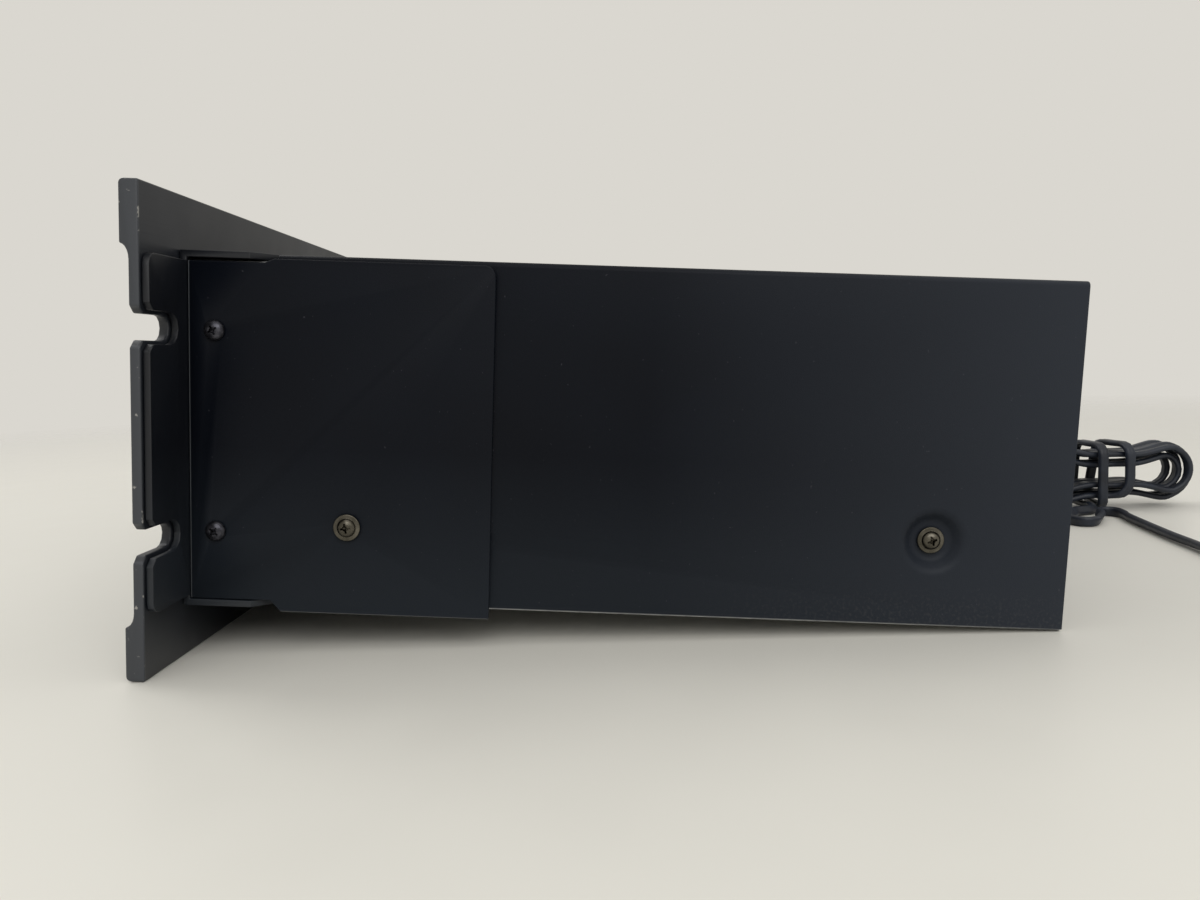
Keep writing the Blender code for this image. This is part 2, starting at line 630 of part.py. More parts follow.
def make_chassis_pan(holes):
    """Base and side walls, folded from one sheet; the walls run forward between the sub-panel's flanges."""
    back_start = FLANGE_END + SEAT
    walls = [(-WALL_OUTER_X, CASE_BOTTOM), (WALL_OUTER_X, CASE_BOTTOM), (WALL_OUTER_X, WALL_TOP)]
    walls += [(WALL_INNER_X, WALL_TOP), (WALL_INNER_X, PAN_TOP), (-WALL_INNER_X, PAN_TOP)]
    walls += [(-WALL_INNER_X, WALL_TOP), (-WALL_OUTER_X, WALL_TOP)]
    middle_y = (back_start + CASE_LENGTH) / 2
    pan = slab("chassis_pan", [walls], CASE_LENGTH - back_start, "xz", (0, middle_y, 0), ZINC)
    for side in (1, -1):
        low_x, high_x = sorted((side * WALL_INNER_X, side * WALL_OUTER_X))
        low = (low_x, WEB_BACK + SEAT, FLANGE_BOTTOM + WEB_STEEL + SEAT)
        join(pan, block(f"wall_front_{side}", low, (high_x, back_start + BITE, WALL_TOP)))
    dimpled(
        pan, "pan", WALL_OUTER_X, PAN_STEEL, DIMPLE_RADIUS + COVER_STEEL + SEAT,
        DIMPLE_FLAT + COVER_STEEL + SEAT, DIMPLE_DEPTH,
    )
    cut(pan, *holes)


# Cover
COVER_HEM = 0.5 * MM
COVER_BEND = 1.6 * MM


def make_top_cover(holes):
    outer, inner = CASE_WIDTH / 2, COVER_INNER_X
    hem = CASE_BOTTOM + COVER_HEM
    inner_bend = COVER_BEND - COVER_STEEL
    half = [(inner, hem), (outer, hem)]
    half += arc((outer - COVER_BEND, CASE_TOP - COVER_BEND), (COVER_BEND, COVER_BEND), 0, 90, 4)
    inside = arc((outer - COVER_BEND, CASE_TOP - COVER_BEND), (inner_bend, inner_bend), 90, 0, 2)
    outline = half + [(-x, z) for x, z in reversed(half)]
    outline += [(-x, z) for x, z in reversed(inside)] + inside
    front = FLANGE_END + SEAT
    middle_y = (front + CASE_LENGTH) / 2
    cover = slab("top_cover", [outline], CASE_LENGTH - front, "xz", (0, middle_y, 0), PAINTED)
    dimpled(cover, "cover", CASE_WIDTH / 2, COVER_STEEL, DIMPLE_RADIUS, DIMPLE_FLAT, DIMPLE_DEPTH)
    cut(cover, *holes[2:])


# Rear panel and what comes through it
RCA_X = -60 * MM
RCA_Z_RISE = 40 * MM
RCA_PITCH = 14 * MM
RCA_COUNT = 3
RCA_BARREL = 4.15 * MM
RCA_BORE = 1.7 * MM
RCA_LENGTH = 9 * MM
RCA_BORE_DEPTH = 7 * MM
RCA_BODY = (40 * MM, 12 * MM, 14 * MM)
EXIT_X = 150 * MM
EXIT_RISE = 24 * MM
RELIEF_FLANGE = 7.5 * MM
RELIEF_FLANGE_THICKNESS = 2 * MM
RELIEF_NECK = 5.5 * MM
RELIEF_TAIL = 3.4 * MM
RELIEF_LENGTH = 11 * MM
RELIEF_INSIDE = 6 * MM
EXIT_Z = CASE_BOTTOM + EXIT_RISE
EXIT_Y = CASE_LENGTH + RELIEF_LENGTH
RCA_Z = CASE_BOTTOM + RCA_Z_RISE


def make_rear():
    low_x, high_x = SEAT - WALL_INNER_X, WALL_INNER_X - SEAT
    back = block(
        "rear_panel", (low_x, CASE_LENGTH - PAN_STEEL, PAN_TOP + SEAT), (high_x, CASE_LENGTH, WALL_TOP),
        PAINTED,
    )
    inside_y = CASE_LENGTH - PAN_STEEL - SEAT
    hole_start = CASE_LENGTH - PAN_STEEL - OVERRUN
    hole_length = PAN_STEEL + 2 * OVERRUN
    sockets = block(
        "rca_sockets",
        (RCA_X - RCA_BODY[0] / 2, inside_y - RCA_BODY[1], RCA_Z - RCA_BODY[2] / 2),
        (RCA_X + RCA_BODY[0] / 2, inside_y, RCA_Z + RCA_BODY[2] / 2), BLACK_PLASTIC,
    )
    for i in range(RCA_COUNT):
        x = RCA_X + (i - (RCA_COUNT - 1) / 2) * RCA_PITCH
        cut(back, drum(f"rca_hole_{i}", RCA_BARREL + SEAT, (x, hole_start, RCA_Z), hole_length, "y"))
        barrel_length = CASE_LENGTH + RCA_LENGTH - inside_y + BITE
        join(sockets, drum(f"rca_barrel_{i}", RCA_BARREL, (x, inside_y - BITE, RCA_Z), barrel_length, "y"))
        bore_start = (x, CASE_LENGTH + RCA_LENGTH - RCA_BORE_DEPTH, RCA_Z)
        bore = drum(f"rca_bore_{i}", RCA_BORE, bore_start, RCA_BORE_DEPTH + OVERRUN, "y", sides=COARSE)
        cut(sockets, bore)
    cut(back, drum("relief_hole", RELIEF_NECK + SEAT, (EXIT_X, hole_start, EXIT_Z), hole_length, "y"))
    flange_back = RELIEF_FLANGE_THICKNESS + SEAT
    profile = [(0, RELIEF_LENGTH), (RELIEF_TAIL, RELIEF_LENGTH), (RELIEF_NECK, flange_back)]
    profile += [(RELIEF_FLANGE, flange_back), (RELIEF_FLANGE, SEAT), (RELIEF_NECK, SEAT)]
    profile += [(RELIEF_NECK, -PAN_STEEL - RELIEF_INSIDE), (0, -PAN_STEEL - RELIEF_INSIDE)]
    turned("strain_relief", profile, (EXIT_X, CASE_LENGTH, EXIT_Z), "y", RUBBER)


def gear_outline(teeth, turn=0.0):
    """Involute teeth in the shared module, with a tooth centred on +X before the turn in degrees."""
    pitch = MODULE * teeth / 2
    base = pitch * math.cos(PRESSURE_ANGLE * DEGREE)
    tip = pitch + MODULE * ADDENDUM_SHARE
    root = pitch - MODULE * DEDENDUM_SHARE

    def involute(radius):
        angle = math.acos(min(1, base / radius))
        return math.tan(angle) - angle

    thin = BACKLASH / (4 * pitch)
    half_at_pitch = math.pi / (2 * teeth) - thin + involute(pitch)
    lowest = max(base, root)
    radii = [lowest + (tip - lowest) * i / 3 for i in range(4)]
    flank = [(radius, half_at_pitch - involute(radius)) for radius in radii]
    if root < base:
        flank.insert(0, (root, flank[0][1]))
    points = []
    for tooth in range(teeth):
        centre = 2 * math.pi * tooth / teeth + turn * DEGREE
        side = [(radius, centre - half) for radius, half in flank]
        side += [(radius, centre + half) for radius, half in reversed(flank)]
        points += [(radius * math.cos(angle), radius * math.sin(angle)) for radius, angle in side]
    return points


def rack_outline():
    """Straight-sided teeth that face +X on the rack's pitch line, with a space opposite the gear."""
    pitch = math.pi * MODULE
    lean = math.tan(PRESSURE_ANGLE * DEGREE)
    tip_x = RACK_LINE_X + MODULE * ADDENDUM_SHARE
    root_x = RACK_LINE_X - MODULE * DEDENDUM_SHARE
    half = pitch / 4 - BACKLASH / 4
    tip_half = half - lean * MODULE * ADDENDUM_SHARE
    root_half = half + lean * MODULE * DEDENDUM_SHARE
    first = GEAR_Y - pitch * 1.5
    centres = [first + pitch * i for i in range(RACK_TEETH)]
    back_x = root_x - RACK_BACK
    outline = [(back_x, centres[0] - root_half), (root_x, centres[0] - root_half)]
    for centre in centres:
        if centre > first:
            outline.append((root_x, centre - root_half))
        outline += [(tip_x, centre - tip_half), (tip_x, centre + tip_half), (root_x, centre + root_half)]
    outline.append((back_x, centres[-1] + root_half))
    return outline


def make_tray():
    tray_low = (TRAY_X - TRAY_WIDTH / 2, TRAY_START, TRAY_BOTTOM)
    tray = block("disc_tray", tray_low, (TRAY_X + TRAY_WIDTH / 2, TRAY_END, TRAY_TOP), BLACK_PLASTIC)
    recess_floor = TRAY_TOP - DISC_RECESS
    recess_radius = DISC_RADIUS + DISC_MARGIN
    recess_start = (TRAY_X, DISC_Y, recess_floor)
    slot_low = (TRAY_X - TRAY_SLOT_WIDTH / 2, DISC_Y - TRAY_SLOT_LEAD, TRAY_BOTTOM - OVERRUN)
    slot_high = (TRAY_X + TRAY_SLOT_WIDTH / 2, TRAY_END + OVERRUN, TRAY_TOP + OVERRUN)
    rack_z = TRAY_BOTTOM - RACK_HEIGHT / 2 + BITE / 2
    join(tray, slab("rack", [rack_outline()], RACK_HEIGHT + BITE, "xy", (0, 0, rack_z)))
    cut(tray, drum("disc_recess", recess_radius, recess_start, DISC_RECESS + OVERRUN, "z", sides=FINE * 2))
    cut(tray, block("tray_slot", slot_low, slot_high))
    front_high = TRAY_START - SEAT
    front_low_y = FACE_Y - TRAY_FRONT_PROUD
    block(
        "tray_front",
        (TRAY_X - TRAY_FRONT_WIDTH / 2, front_low_y, TRAY_Z - TRAY_FRONT_HEIGHT / 2),
        (TRAY_X + TRAY_FRONT_WIDTH / 2, front_high, TRAY_Z + TRAY_FRONT_HEIGHT / 2), BLACK_PLASTIC,
    )


# Loader frame: deck, walls that are also its legs, and ledges that the tray runs on
LOADER_WALL = 2.4 * MM
TRAY_SIDE_GAP = 1 * MM
LEDGE_REACH = 3.2 * MM
LEDGE_THICKNESS = 2 * MM
LIP_REACH = 3.2 * MM
LIP_THICKNESS_INNER = 1.5 * MM
MOTOR_HOLE = 4.5 * MM
LOADER_INNER = TRAY_WIDTH / 2 + TRAY_SIDE_GAP
LOADER_OUTER = LOADER_INNER + LOADER_WALL
LOADER_TOP = TRAY_TOP + SEAT + LIP_THICKNESS_INNER


def make_loader_frame():
    ledge_top = TRAY_BOTTOM - SEAT
    ledge_x = LOADER_INNER - LEDGE_REACH
    lip_x = LOADER_INNER - LIP_REACH
    right = [(LOADER_OUTER, PAN_TOP + SEAT), (LOADER_OUTER, LOADER_TOP), (lip_x, LOADER_TOP)]
    right += [(lip_x, TRAY_TOP + SEAT), (LOADER_INNER, TRAY_TOP + SEAT), (LOADER_INNER, ledge_top)]
    right += [(ledge_x, ledge_top), (ledge_x, ledge_top - LEDGE_THICKNESS)]
    right += [(LOADER_INNER, ledge_top - LEDGE_THICKNESS), (LOADER_INNER, DECK_TOP)]
    below = [(LOADER_INNER, DECK_BOTTOM), (LOADER_INNER, PAN_TOP + SEAT)]
    outline = [(x, z) for x, z in right] + [(-x, z) for x, z in reversed(right)]
    outline += [(-x, z) for x, z in reversed(below)] + below
    middle = (TRAY_X, (DECK_FRONT + DECK_END) / 2, 0)
    frame = slab("loader_frame", [outline], DECK_END - DECK_FRONT, "xz", middle, GREY_PLASTIC)
    opening_half = TRAVERSE_HALF_WIDTH + OPENING_MARGIN
    opening_low = (TRAY_X - opening_half, DECK_OPENING_FRONT, DECK_BOTTOM - OVERRUN)
    opening_high = (TRAY_X + opening_half, DECK_OPENING_END, DECK_TOP + OVERRUN)
    cut(frame, block("deck_opening", opening_low, opening_high))
    shaft_start = (MOTOR_X, GEAR_Y, DECK_BOTTOM - OVERRUN)
    drill(frame, "motor_shaft_hole", MOTOR_HOLE, shaft_start, DECK_THICKNESS + 2 * OVERRUN, "z")
    pulley_axle_length = PINION_BOTTOM + PINION_HEIGHT - DECK_TOP + BITE
    gear_axle_length = GEAR_TOP - DECK_TOP + BITE
    axle_low = DECK_TOP - BITE
    join(frame, drum("pulley_axle", AXLE_RADIUS, (PULLEY_X, GEAR_Y, axle_low), pulley_axle_length, "z"))
    join(frame, drum("gear_axle", AXLE_RADIUS, (GEAR_X, GEAR_Y, axle_low), gear_axle_length, "z"))
    ear_top = TRAVERSE_Z + PIVOT_EAR / 2
    hole_radius = PIVOT_RADIUS + PLAY
    hole_start = (TRAY_X - opening_half - PIVOT_EAR / 2 - PIVOT_EAR_GAP, PIVOT_Y, TRAVERSE_Z)
    for side in (1, -1):
        inner = TRAY_X + side * (TRAVERSE_HALF_WIDTH + PIVOT_EAR_GAP)
        outer = TRAY_X + side * (opening_half + PIVOT_EAR / 2)
        low = (min(inner, outer), PIVOT_Y - PIVOT_EAR / 2, DECK_BOTTOM)
        join(frame, block(f"pivot_ear_{side}", low, (max(inner, outer), PIVOT_Y + PIVOT_EAR / 2, ear_top)))
    hole_length = 2 * (opening_half + PIVOT_EAR / 2 + PIVOT_EAR_GAP)
    drill(frame, "pivot_holes", hole_radius, hole_start, hole_length, "x", COARSE)


# Loading motor, pulleys, belt and gears
MOTOR_RADIUS = 10.5 * MM
MOTOR_LENGTH = 16 * MM
MOTOR_SHAFT = 1 * MM


def make_loading_drive():
    motor_top = DECK_BOTTOM - SEAT
    motor_low = (MOTOR_X, GEAR_Y, motor_top - MOTOR_LENGTH)
    shaft_length = PULLEY_BOTTOM + PULLEY_THICKNESS / 2 - motor_top + BITE
    motor = drum("loading_motor", MOTOR_RADIUS, motor_low, MOTOR_LENGTH, "z", ZINC)
    shaft_start = (MOTOR_X, GEAR_Y, motor_top - BITE)
    join(motor, drum("loading_shaft", MOTOR_SHAFT, shaft_start, shaft_length, "z", sides=COARSE))
    half = PULLEY_THICKNESS / 2

    def groove_profile(radius, top):
        rim = [(radius, PULLEY_THICKNESS), (radius - PULLEY_GROOVE, half + BELT_HEIGHT / 2 + SEAT)]
        rim += [(radius - PULLEY_GROOVE, half - BELT_HEIGHT / 2 - SEAT), (radius, 0)]
        return [(0, top)] + rim + [(0, 0)]

    small = turned(
        "motor_pulley", groove_profile(MOTOR_PULLEY_RADIUS, PULLEY_THICKNESS),
        (MOTOR_X, GEAR_Y, PULLEY_BOTTOM), "z", WHITE_ACETAL,
    )
    bore_start = (MOTOR_X, GEAR_Y, PULLEY_BOTTOM - OVERRUN)
    drill(small, "motor_pulley_bore", MOTOR_SHAFT + SEAT, bore_start, half + OVERRUN + SEAT, "z", COARSE)
    large = turned(
        "drive_pulley", groove_profile(PULLEY_RADIUS, PULLEY_THICKNESS), (PULLEY_X, GEAR_Y, PULLEY_BOTTOM),
        "z", WHITE_ACETAL, FINE,
    )
    pinion_z = PINION_BOTTOM + PINION_HEIGHT / 2 - BITE / 2
    half_pitch = 180 / PINION_TEETH
    teeth = [gear_outline(PINION_TEETH, half_pitch)]
    join(large, slab("pinion", teeth, PINION_HEIGHT + BITE, "xy", (PULLEY_X, GEAR_Y, pinion_z)))
    bore_start = (PULLEY_X, GEAR_Y, PULLEY_BOTTOM - OVERRUN)
    bore_length = PULLEY_THICKNESS + PINION_HEIGHT + 2 * OVERRUN
    drill(large, "pulley_bore", AXLE_RADIUS + SEAT, bore_start, bore_length, "z")
    gear_place = (GEAR_X, GEAR_Y, (GEAR_BOTTOM + GEAR_TOP) / 2)
    gear = slab("tray_gear", [gear_outline(GEAR_TEETH)], GEAR_THICKNESS, "xy", gear_place, WHITE_ACETAL)
    gear_start = (GEAR_X, GEAR_Y, GEAR_BOTTOM - OVERRUN)
    drill(gear, "gear_bore", AXLE_RADIUS + SEAT, gear_start, GEAR_THICKNESS + 2 * OVERRUN, "z")
    make_drive_belt()


def belt_loop(grow):
    """The loop round both pulleys, as the outline of two circles and their common tangents."""
    large = PULLEY_RADIUS - PULLEY_GROOVE + grow
    small = MOTOR_PULLEY_RADIUS - PULLEY_GROOVE + grow
    lean = math.degrees(math.acos((large - small) / BELT_SPAN))
    loop = arc((0, 0), (large, large), lean, 360 - lean, 16)
    return loop + arc((BELT_SPAN, 0), (small, small), -lean, lean, 10)


def make_drive_belt():
    belt_z = PULLEY_BOTTOM + PULLEY_THICKNESS / 2
    loops = [belt_loop(SEAT + BELT_THICKNESS), belt_loop(SEAT)]
    slab("drive_belt", loops, BELT_HEIGHT, "xy", (PULLEY_X, GEAR_Y, belt_z), RUBBER)


# Spindle and pickup, carried by the traverse
SPINDLE_HOLE = 2.2 * MM
SPINDLE_RADIUS = 1 * MM
SPINDLE_ENTRY = 4 * MM
SPINDLE_MOTOR_RADIUS = 12 * MM
SPINDLE_MOTOR_LENGTH = 9.5 * MM
TURNTABLE_RADIUS = 14.5 * MM
TURNTABLE_THICKNESS = 2.5 * MM
TURNTABLE_BOSS = 5 * MM
DISC_LIFT = 1.5 * MM
HUB_RADIUS = 7.3 * MM
HUB_TIP_RADIUS = 6 * MM
HUB_HEIGHT = 2.2 * MM
RAIL_RADIUS = 1.4 * MM
RAIL_SPREAD = 13 * MM
SLED_HALF_WIDTH = 17.5 * MM
SLED_LENGTH = 22 * MM
SLED_SETBACK = 5.5 * MM
SLED_DROP = 1.5 * MM
SLED_HEIGHT = 11 * MM
LENS_RADIUS = 3.5 * MM
LENS_HEIGHT = 3.5 * MM
SLED_MOTOR_RADIUS = 7.5 * MM
SLED_MOTOR_LENGTH = 13.5 * MM
SCREW_ENTRY = 3 * MM
TURNTABLE_TOP = TRAY_TOP - DISC_RECESS + DISC_LIFT
SLED_START = SLED_WINDOW_START + SLED_SETBACK
SCREW_SLOT = RAIL_RADIUS + PLAY + SEAT


def make_traverse():
    """The tipping frame: a plate with a window for the pickup, two pivot stubs and the pin for the cam."""
    low = (TRAY_X - TRAVERSE_HALF_WIDTH, TRAVERSE_FRONT, TRAVERSE_BOTTOM)
    high = (TRAY_X + TRAVERSE_HALF_WIDTH, TRAVERSE_END, TRAVERSE_TOP)
    frame = block("traverse_frame", low, high, ZINC)
    for side in (1, -1):
        start_x = high[0] - BITE if side > 0 else low[0] - PIVOT_LENGTH
        start = (start_x, PIVOT_Y, TRAVERSE_Z)
        join(frame, drum(f"pivot_stub_{side}", PIVOT_RADIUS, start, PIVOT_LENGTH + BITE, "x", sides=COARSE))
    pin_start = (TRAY_X, CAM_FRONT + SEAT, TRAVERSE_Z)
    pin_length = TRAVERSE_FRONT - CAM_FRONT - SEAT + BITE
    join(frame, drum("cam_pin", CAM_PIN_RADIUS, pin_start, pin_length, "y", sides=COARSE))
    below, above = TRAVERSE_BOTTOM - OVERRUN, TRAVERSE_TOP + OVERRUN
    window_low = (TRAY_X - SLED_WINDOW_HALF, SLED_WINDOW_START, below)
    cut(frame, block("sled_window", window_low, (TRAY_X + SLED_WINDOW_HALF, SLED_WINDOW_END, above)))
    screw_x = TRAY_X + RAIL_SPREAD
    slot_low = (screw_x - SCREW_SLOT, SLED_WINDOW_END - OVERRUN, below)
    cut(frame, block("screw_slot", slot_low, (screw_x + SCREW_SLOT, TRAVERSE_END + OVERRUN, above)))
    drill(frame, "spindle_hole", SPINDLE_HOLE, (TRAY_X, DISC_Y, below), above - below, "z")


def make_spindle():
    motor_top = TRAVERSE_BOTTOM - SEAT
    motor_low = (TRAY_X, DISC_Y, motor_top - SPINDLE_MOTOR_LENGTH)
    motor = drum("spindle_motor", SPINDLE_MOTOR_RADIUS, motor_low, SPINDLE_MOTOR_LENGTH, "z", ZINC)
    entry_low = motor_top - SPINDLE_ENTRY
    entry_length = SPINDLE_ENTRY + OVERRUN
    drill(motor, "spindle_entry", SPINDLE_RADIUS + PLAY, (TRAY_X, DISC_Y, entry_low), entry_length, "z")
    under = TURNTABLE_TOP - TURNTABLE_THICKNESS
    boss_low = TRAVERSE_TOP + PLAY
    shaft_low = entry_low + SEAT
    profile = [(0, TURNTABLE_TOP + HUB_HEIGHT), (HUB_TIP_RADIUS, TURNTABLE_TOP + HUB_HEIGHT)]
    profile += [(HUB_RADIUS, TURNTABLE_TOP), (TURNTABLE_RADIUS, TURNTABLE_TOP), (TURNTABLE_RADIUS, under)]
    profile += [(TURNTABLE_BOSS, under), (TURNTABLE_BOSS, boss_low), (SPINDLE_RADIUS, boss_low)]
    profile += [(SPINDLE_RADIUS, shaft_low), (0, shaft_low)]
    turned("turntable", profile, (TRAY_X, DISC_Y, 0), "z", BLACK_PLASTIC)


def make_pickup():
    """The sled, the rail and the lead screw that it rides on, and the screw's motor behind the traverse."""
    sled_low = TRAVERSE_BOTTOM - SLED_DROP
    sled_top = sled_low + SLED_HEIGHT
    low = (TRAY_X - SLED_HALF_WIDTH, SLED_START, sled_low)
    high = (TRAY_X + SLED_HALF_WIDTH, SLED_START + SLED_LENGTH, sled_top)
    sled = block("pickup_sled", low, high, BLACK_PLASTIC)
    lens_place = (TRAY_X, SLED_START + SLED_LENGTH / 2, sled_top - BITE)
    join(sled, drum("lens", LENS_RADIUS, lens_place, LENS_HEIGHT + BITE, "z"))
    for side in (1, -1):
        start = (TRAY_X + side * RAIL_SPREAD, SLED_START - OVERRUN, TRAVERSE_Z)
        drill(sled, f"sled_bore_{side}", RAIL_RADIUS + PLAY, start, SLED_LENGTH + 2 * OVERRUN, "y")
    rail_start = SLED_WINDOW_START + SEAT
    rail_length = SLED_WINDOW_END - SEAT - rail_start
    rail_place = (TRAY_X - RAIL_SPREAD, rail_start, TRAVERSE_Z)
    drum("guide_rail", RAIL_RADIUS, rail_place, rail_length, "y", ZINC, COARSE)
    motor_start = TRAVERSE_END + SEAT
    screw_place = (TRAY_X + RAIL_SPREAD, rail_start, TRAVERSE_Z)
    drum("sled_screw", RAIL_RADIUS, screw_place, motor_start + SCREW_ENTRY - rail_start, "y", ZINC, COARSE)
    motor_place = (TRAY_X + RAIL_SPREAD, motor_start, TRAVERSE_Z)
    motor = drum("sled_motor", SLED_MOTOR_RADIUS, motor_place, SLED_MOTOR_LENGTH, "y", ZINC)
    entry_start = (TRAY_X + RAIL_SPREAD, motor_start - OVERRUN, TRAVERSE_Z)
    drill(motor, "screw_entry", RAIL_RADIUS + SEAT, entry_start, OVERRUN + SCREW_ENTRY + SEAT, "y")


def make_cam_slider():
    """A plate before the traverse, whose slanted slot lowers the pin as the plate moves right."""
    slot = CAM_PIN_RADIUS + PLAY
    low_end = (TRAY_X - CAM_TRAVEL, TRAVERSE_Z - TIP_DROP)
    high_end = (TRAY_X, TRAVERSE_Z)
    slant = math.degrees(math.atan2(TIP_DROP, CAM_TRAVEL))
    outline = arc(high_end, (slot, slot), slant - 90, slant + 90, 4)
    outline += arc(low_end, (slot, slot), slant + 90, slant + 270, 4)
    low = (low_end[0] - slot - CAM_WALL, CAM_FRONT, low_end[1] - slot - CAM_WALL)
    high = (high_end[0] + slot + CAM_WALL, CAM_BACK, high_end[1] + slot + CAM_LIP)
    cam = block("cam_slider", low, high, WHITE_ACETAL)
    middle_y = (CAM_FRONT + CAM_BACK) / 2
    cut(cam, slab("cam_slot", [outline], CAM_THICKNESS + 2 * OVERRUN, "xz", (0, middle_y, 0)))


# Clamp over the disc
BRIDGE_HALF_DEPTH = 12 * MM
BRIDGE_THICKNESS = 2 * MM
BRIDGE_HOLE = 11 * MM
PUCK_RADIUS = 15 * MM
PUCK_THICKNESS = 4 * MM
PUCK_RECESS = 8.2 * MM
PUCK_NECK = 9.5 * MM
PUCK_FLANGE = 13 * MM
PUCK_FLANGE_THICKNESS = 2 * MM


def make_clamp():
    bridge_low = LOADER_TOP + SEAT
    bridge_high = bridge_low + BRIDGE_THICKNESS
    low = (TRAY_X - LOADER_OUTER, DISC_Y - BRIDGE_HALF_DEPTH, bridge_low)
    high = (TRAY_X + LOADER_OUTER, DISC_Y + BRIDGE_HALF_DEPTH, bridge_high)
    bridge = block("clamp_bridge", low, high, ZINC)
    hole_start = (TRAY_X, DISC_Y, bridge_low - OVERRUN)
    drill(bridge, "bridge_hole", BRIDGE_HOLE, hole_start, BRIDGE_THICKNESS + 2 * OVERRUN, "z", FINE)
    disc_low = TURNTABLE_TOP + SEAT
    disc_high = disc_low + PUCK_THICKNESS
    flange_low = bridge_high + SEAT
    flange_high = flange_low + PUCK_FLANGE_THICKNESS
    recess_top = TURNTABLE_TOP + HUB_HEIGHT + PLAY
    profile = [
        (0, flange_high), (PUCK_FLANGE, flange_high), (PUCK_FLANGE, flange_low), (PUCK_NECK, flange_low)
    ]
    profile += [(PUCK_NECK, disc_high), (PUCK_RADIUS, disc_high), (PUCK_RADIUS, disc_low)]
    profile += [(PUCK_RECESS, disc_low), (PUCK_RECESS, recess_top), (0, recess_top)]
    turned("clamp_puck", profile, (TRAY_X, DISC_Y, 0), "z", BLACK_PLASTIC)


# Front controls
KEY_BACK = WEB_BACK + PLAY + KEY_FLANGE_THICKNESS
SWITCH_HEIGHT = 1.6 * MM
SWITCH_GAP = 0.2 * MM
SWITCH_HALF = 3 * MM
FRONT_BOARD_THICKNESS = 1.6 * MM
FRONT_BOARD_MARGIN = 10 * MM
POST_RADIUS = 2 * MM
POST_SPREAD = 6 * MM
BOARD_FRONT = KEY_BACK + KEY_TRAVEL + SWITCH_GAP + SWITCH_HEIGHT
BOARD_BACK = BOARD_FRONT + FRONT_BOARD_THICKNESS


def make_buttons():
    places = buttons()
    for name, x, width, height in places:
        low = (x - width / 2, FACE_Y - KEY_PROUD, KEY_Z - height / 2)
        cap = block(f"{name}_button", low, (x + width / 2, KEY_BACK, KEY_Z + height / 2), GREY_PLASTIC)
        half_width, half_height = width / 2 + KEY_FLANGE, height / 2 + KEY_FLANGE
        flange_low = (x - half_width, WEB_BACK + PLAY, KEY_Z - half_height)
        join(cap, block(f"{name}_flange", flange_low, (x + half_width, KEY_BACK, KEY_Z + half_height)))
    board_low = (LEFT_X - FRONT_BOARD_MARGIN, BOARD_FRONT, KEY_Z - FRONT_BOARD_MARGIN)
    board_high = (OPEN_X + FRONT_BOARD_MARGIN, BOARD_BACK, KEY_Z + FRONT_BOARD_MARGIN)
    control = block("control_board", board_low, board_high, BOARD_GREEN)
    for name, x, _, _ in places:
        low = (x - SWITCH_HALF, BOARD_FRONT - SWITCH_HEIGHT, KEY_Z - SWITCH_HALF)
        high = (x + SWITCH_HALF, BOARD_FRONT + BITE, KEY_Z + SWITCH_HALF)
        join(control, block(f"{name}_switch", low, high))
    rights = {name: x + width / 2 for name, x, width, _ in places}
    lefts = {name: x - width / 2 for name, x, width, _ in places}
    spans = ((rights["power"], lefts[KEY_NAMES[0]]), (rights[KEY_NAMES[-1]], lefts["open"]))
    for i, (low_x, high_x) in enumerate(spans):
        for level in (1, -1):
            start = ((low_x + high_x) / 2, WEB_BACK + SEAT, KEY_Z + level * POST_SPREAD)
            length = BOARD_FRONT - WEB_BACK - SEAT + BITE
            join(control, drum(f"control_post_{i}_{level}", POST_RADIUS, start, length, "y", sides=COARSE))


DISPLAY_TUBE_INSET = 1 * MM
DISPLAY_BOARD_MARGIN = 1.5 * MM
DISPLAY_POST_RADIUS = 1 * MM


def make_display():
    half_height = DISPLAY_HEIGHT / 2
    low = (DISPLAY_X - DISPLAY_HALF + DISPLAY_GAP, -DISPLAY_THICKNESS, TRAY_Z - half_height + DISPLAY_GAP)
    high = (DISPLAY_X + DISPLAY_HALF - DISPLAY_GAP, 0, TRAY_Z + half_height - DISPLAY_GAP)
    block("display_window", low, high, SMOKED)
    tube_half = (
        DISPLAY_HALF - DISPLAY_REST - DISPLAY_TUBE_INSET, half_height - DISPLAY_REST - DISPLAY_TUBE_INSET
    )
    board_half = (DISPLAY_HALF + DISPLAY_BOARD_MARGIN, half_height + DISPLAY_BOARD_MARGIN)
    board_low = (DISPLAY_X - board_half[0], BOARD_FRONT, TRAY_Z - board_half[1])
    board_high = (DISPLAY_X + board_half[0], BOARD_BACK, TRAY_Z + board_half[1])
    module = block("display_module", board_low, board_high, BOARD_GREEN)
    tube_low = (DISPLAY_X - tube_half[0], WEB_FRONT + SEAT, TRAY_Z - tube_half[1])
    tube_high = (DISPLAY_X + tube_half[0], BOARD_FRONT + BITE, TRAY_Z + tube_half[1])
    join(module, block("display_tube", tube_low, tube_high))
    for side in (1, -1):
        for level in (1, -1):
            x = DISPLAY_X + side * DISPLAY_HALF
            start = (x, WEB_BACK + SEAT, TRAY_Z + level * half_height)
            length = BOARD_FRONT - WEB_BACK - SEAT + BITE
            post = drum(f"display_post_{side}_{level}", DISPLAY_POST_RADIUS, start, length, "y", sides=COARSE)
            join(module, post)


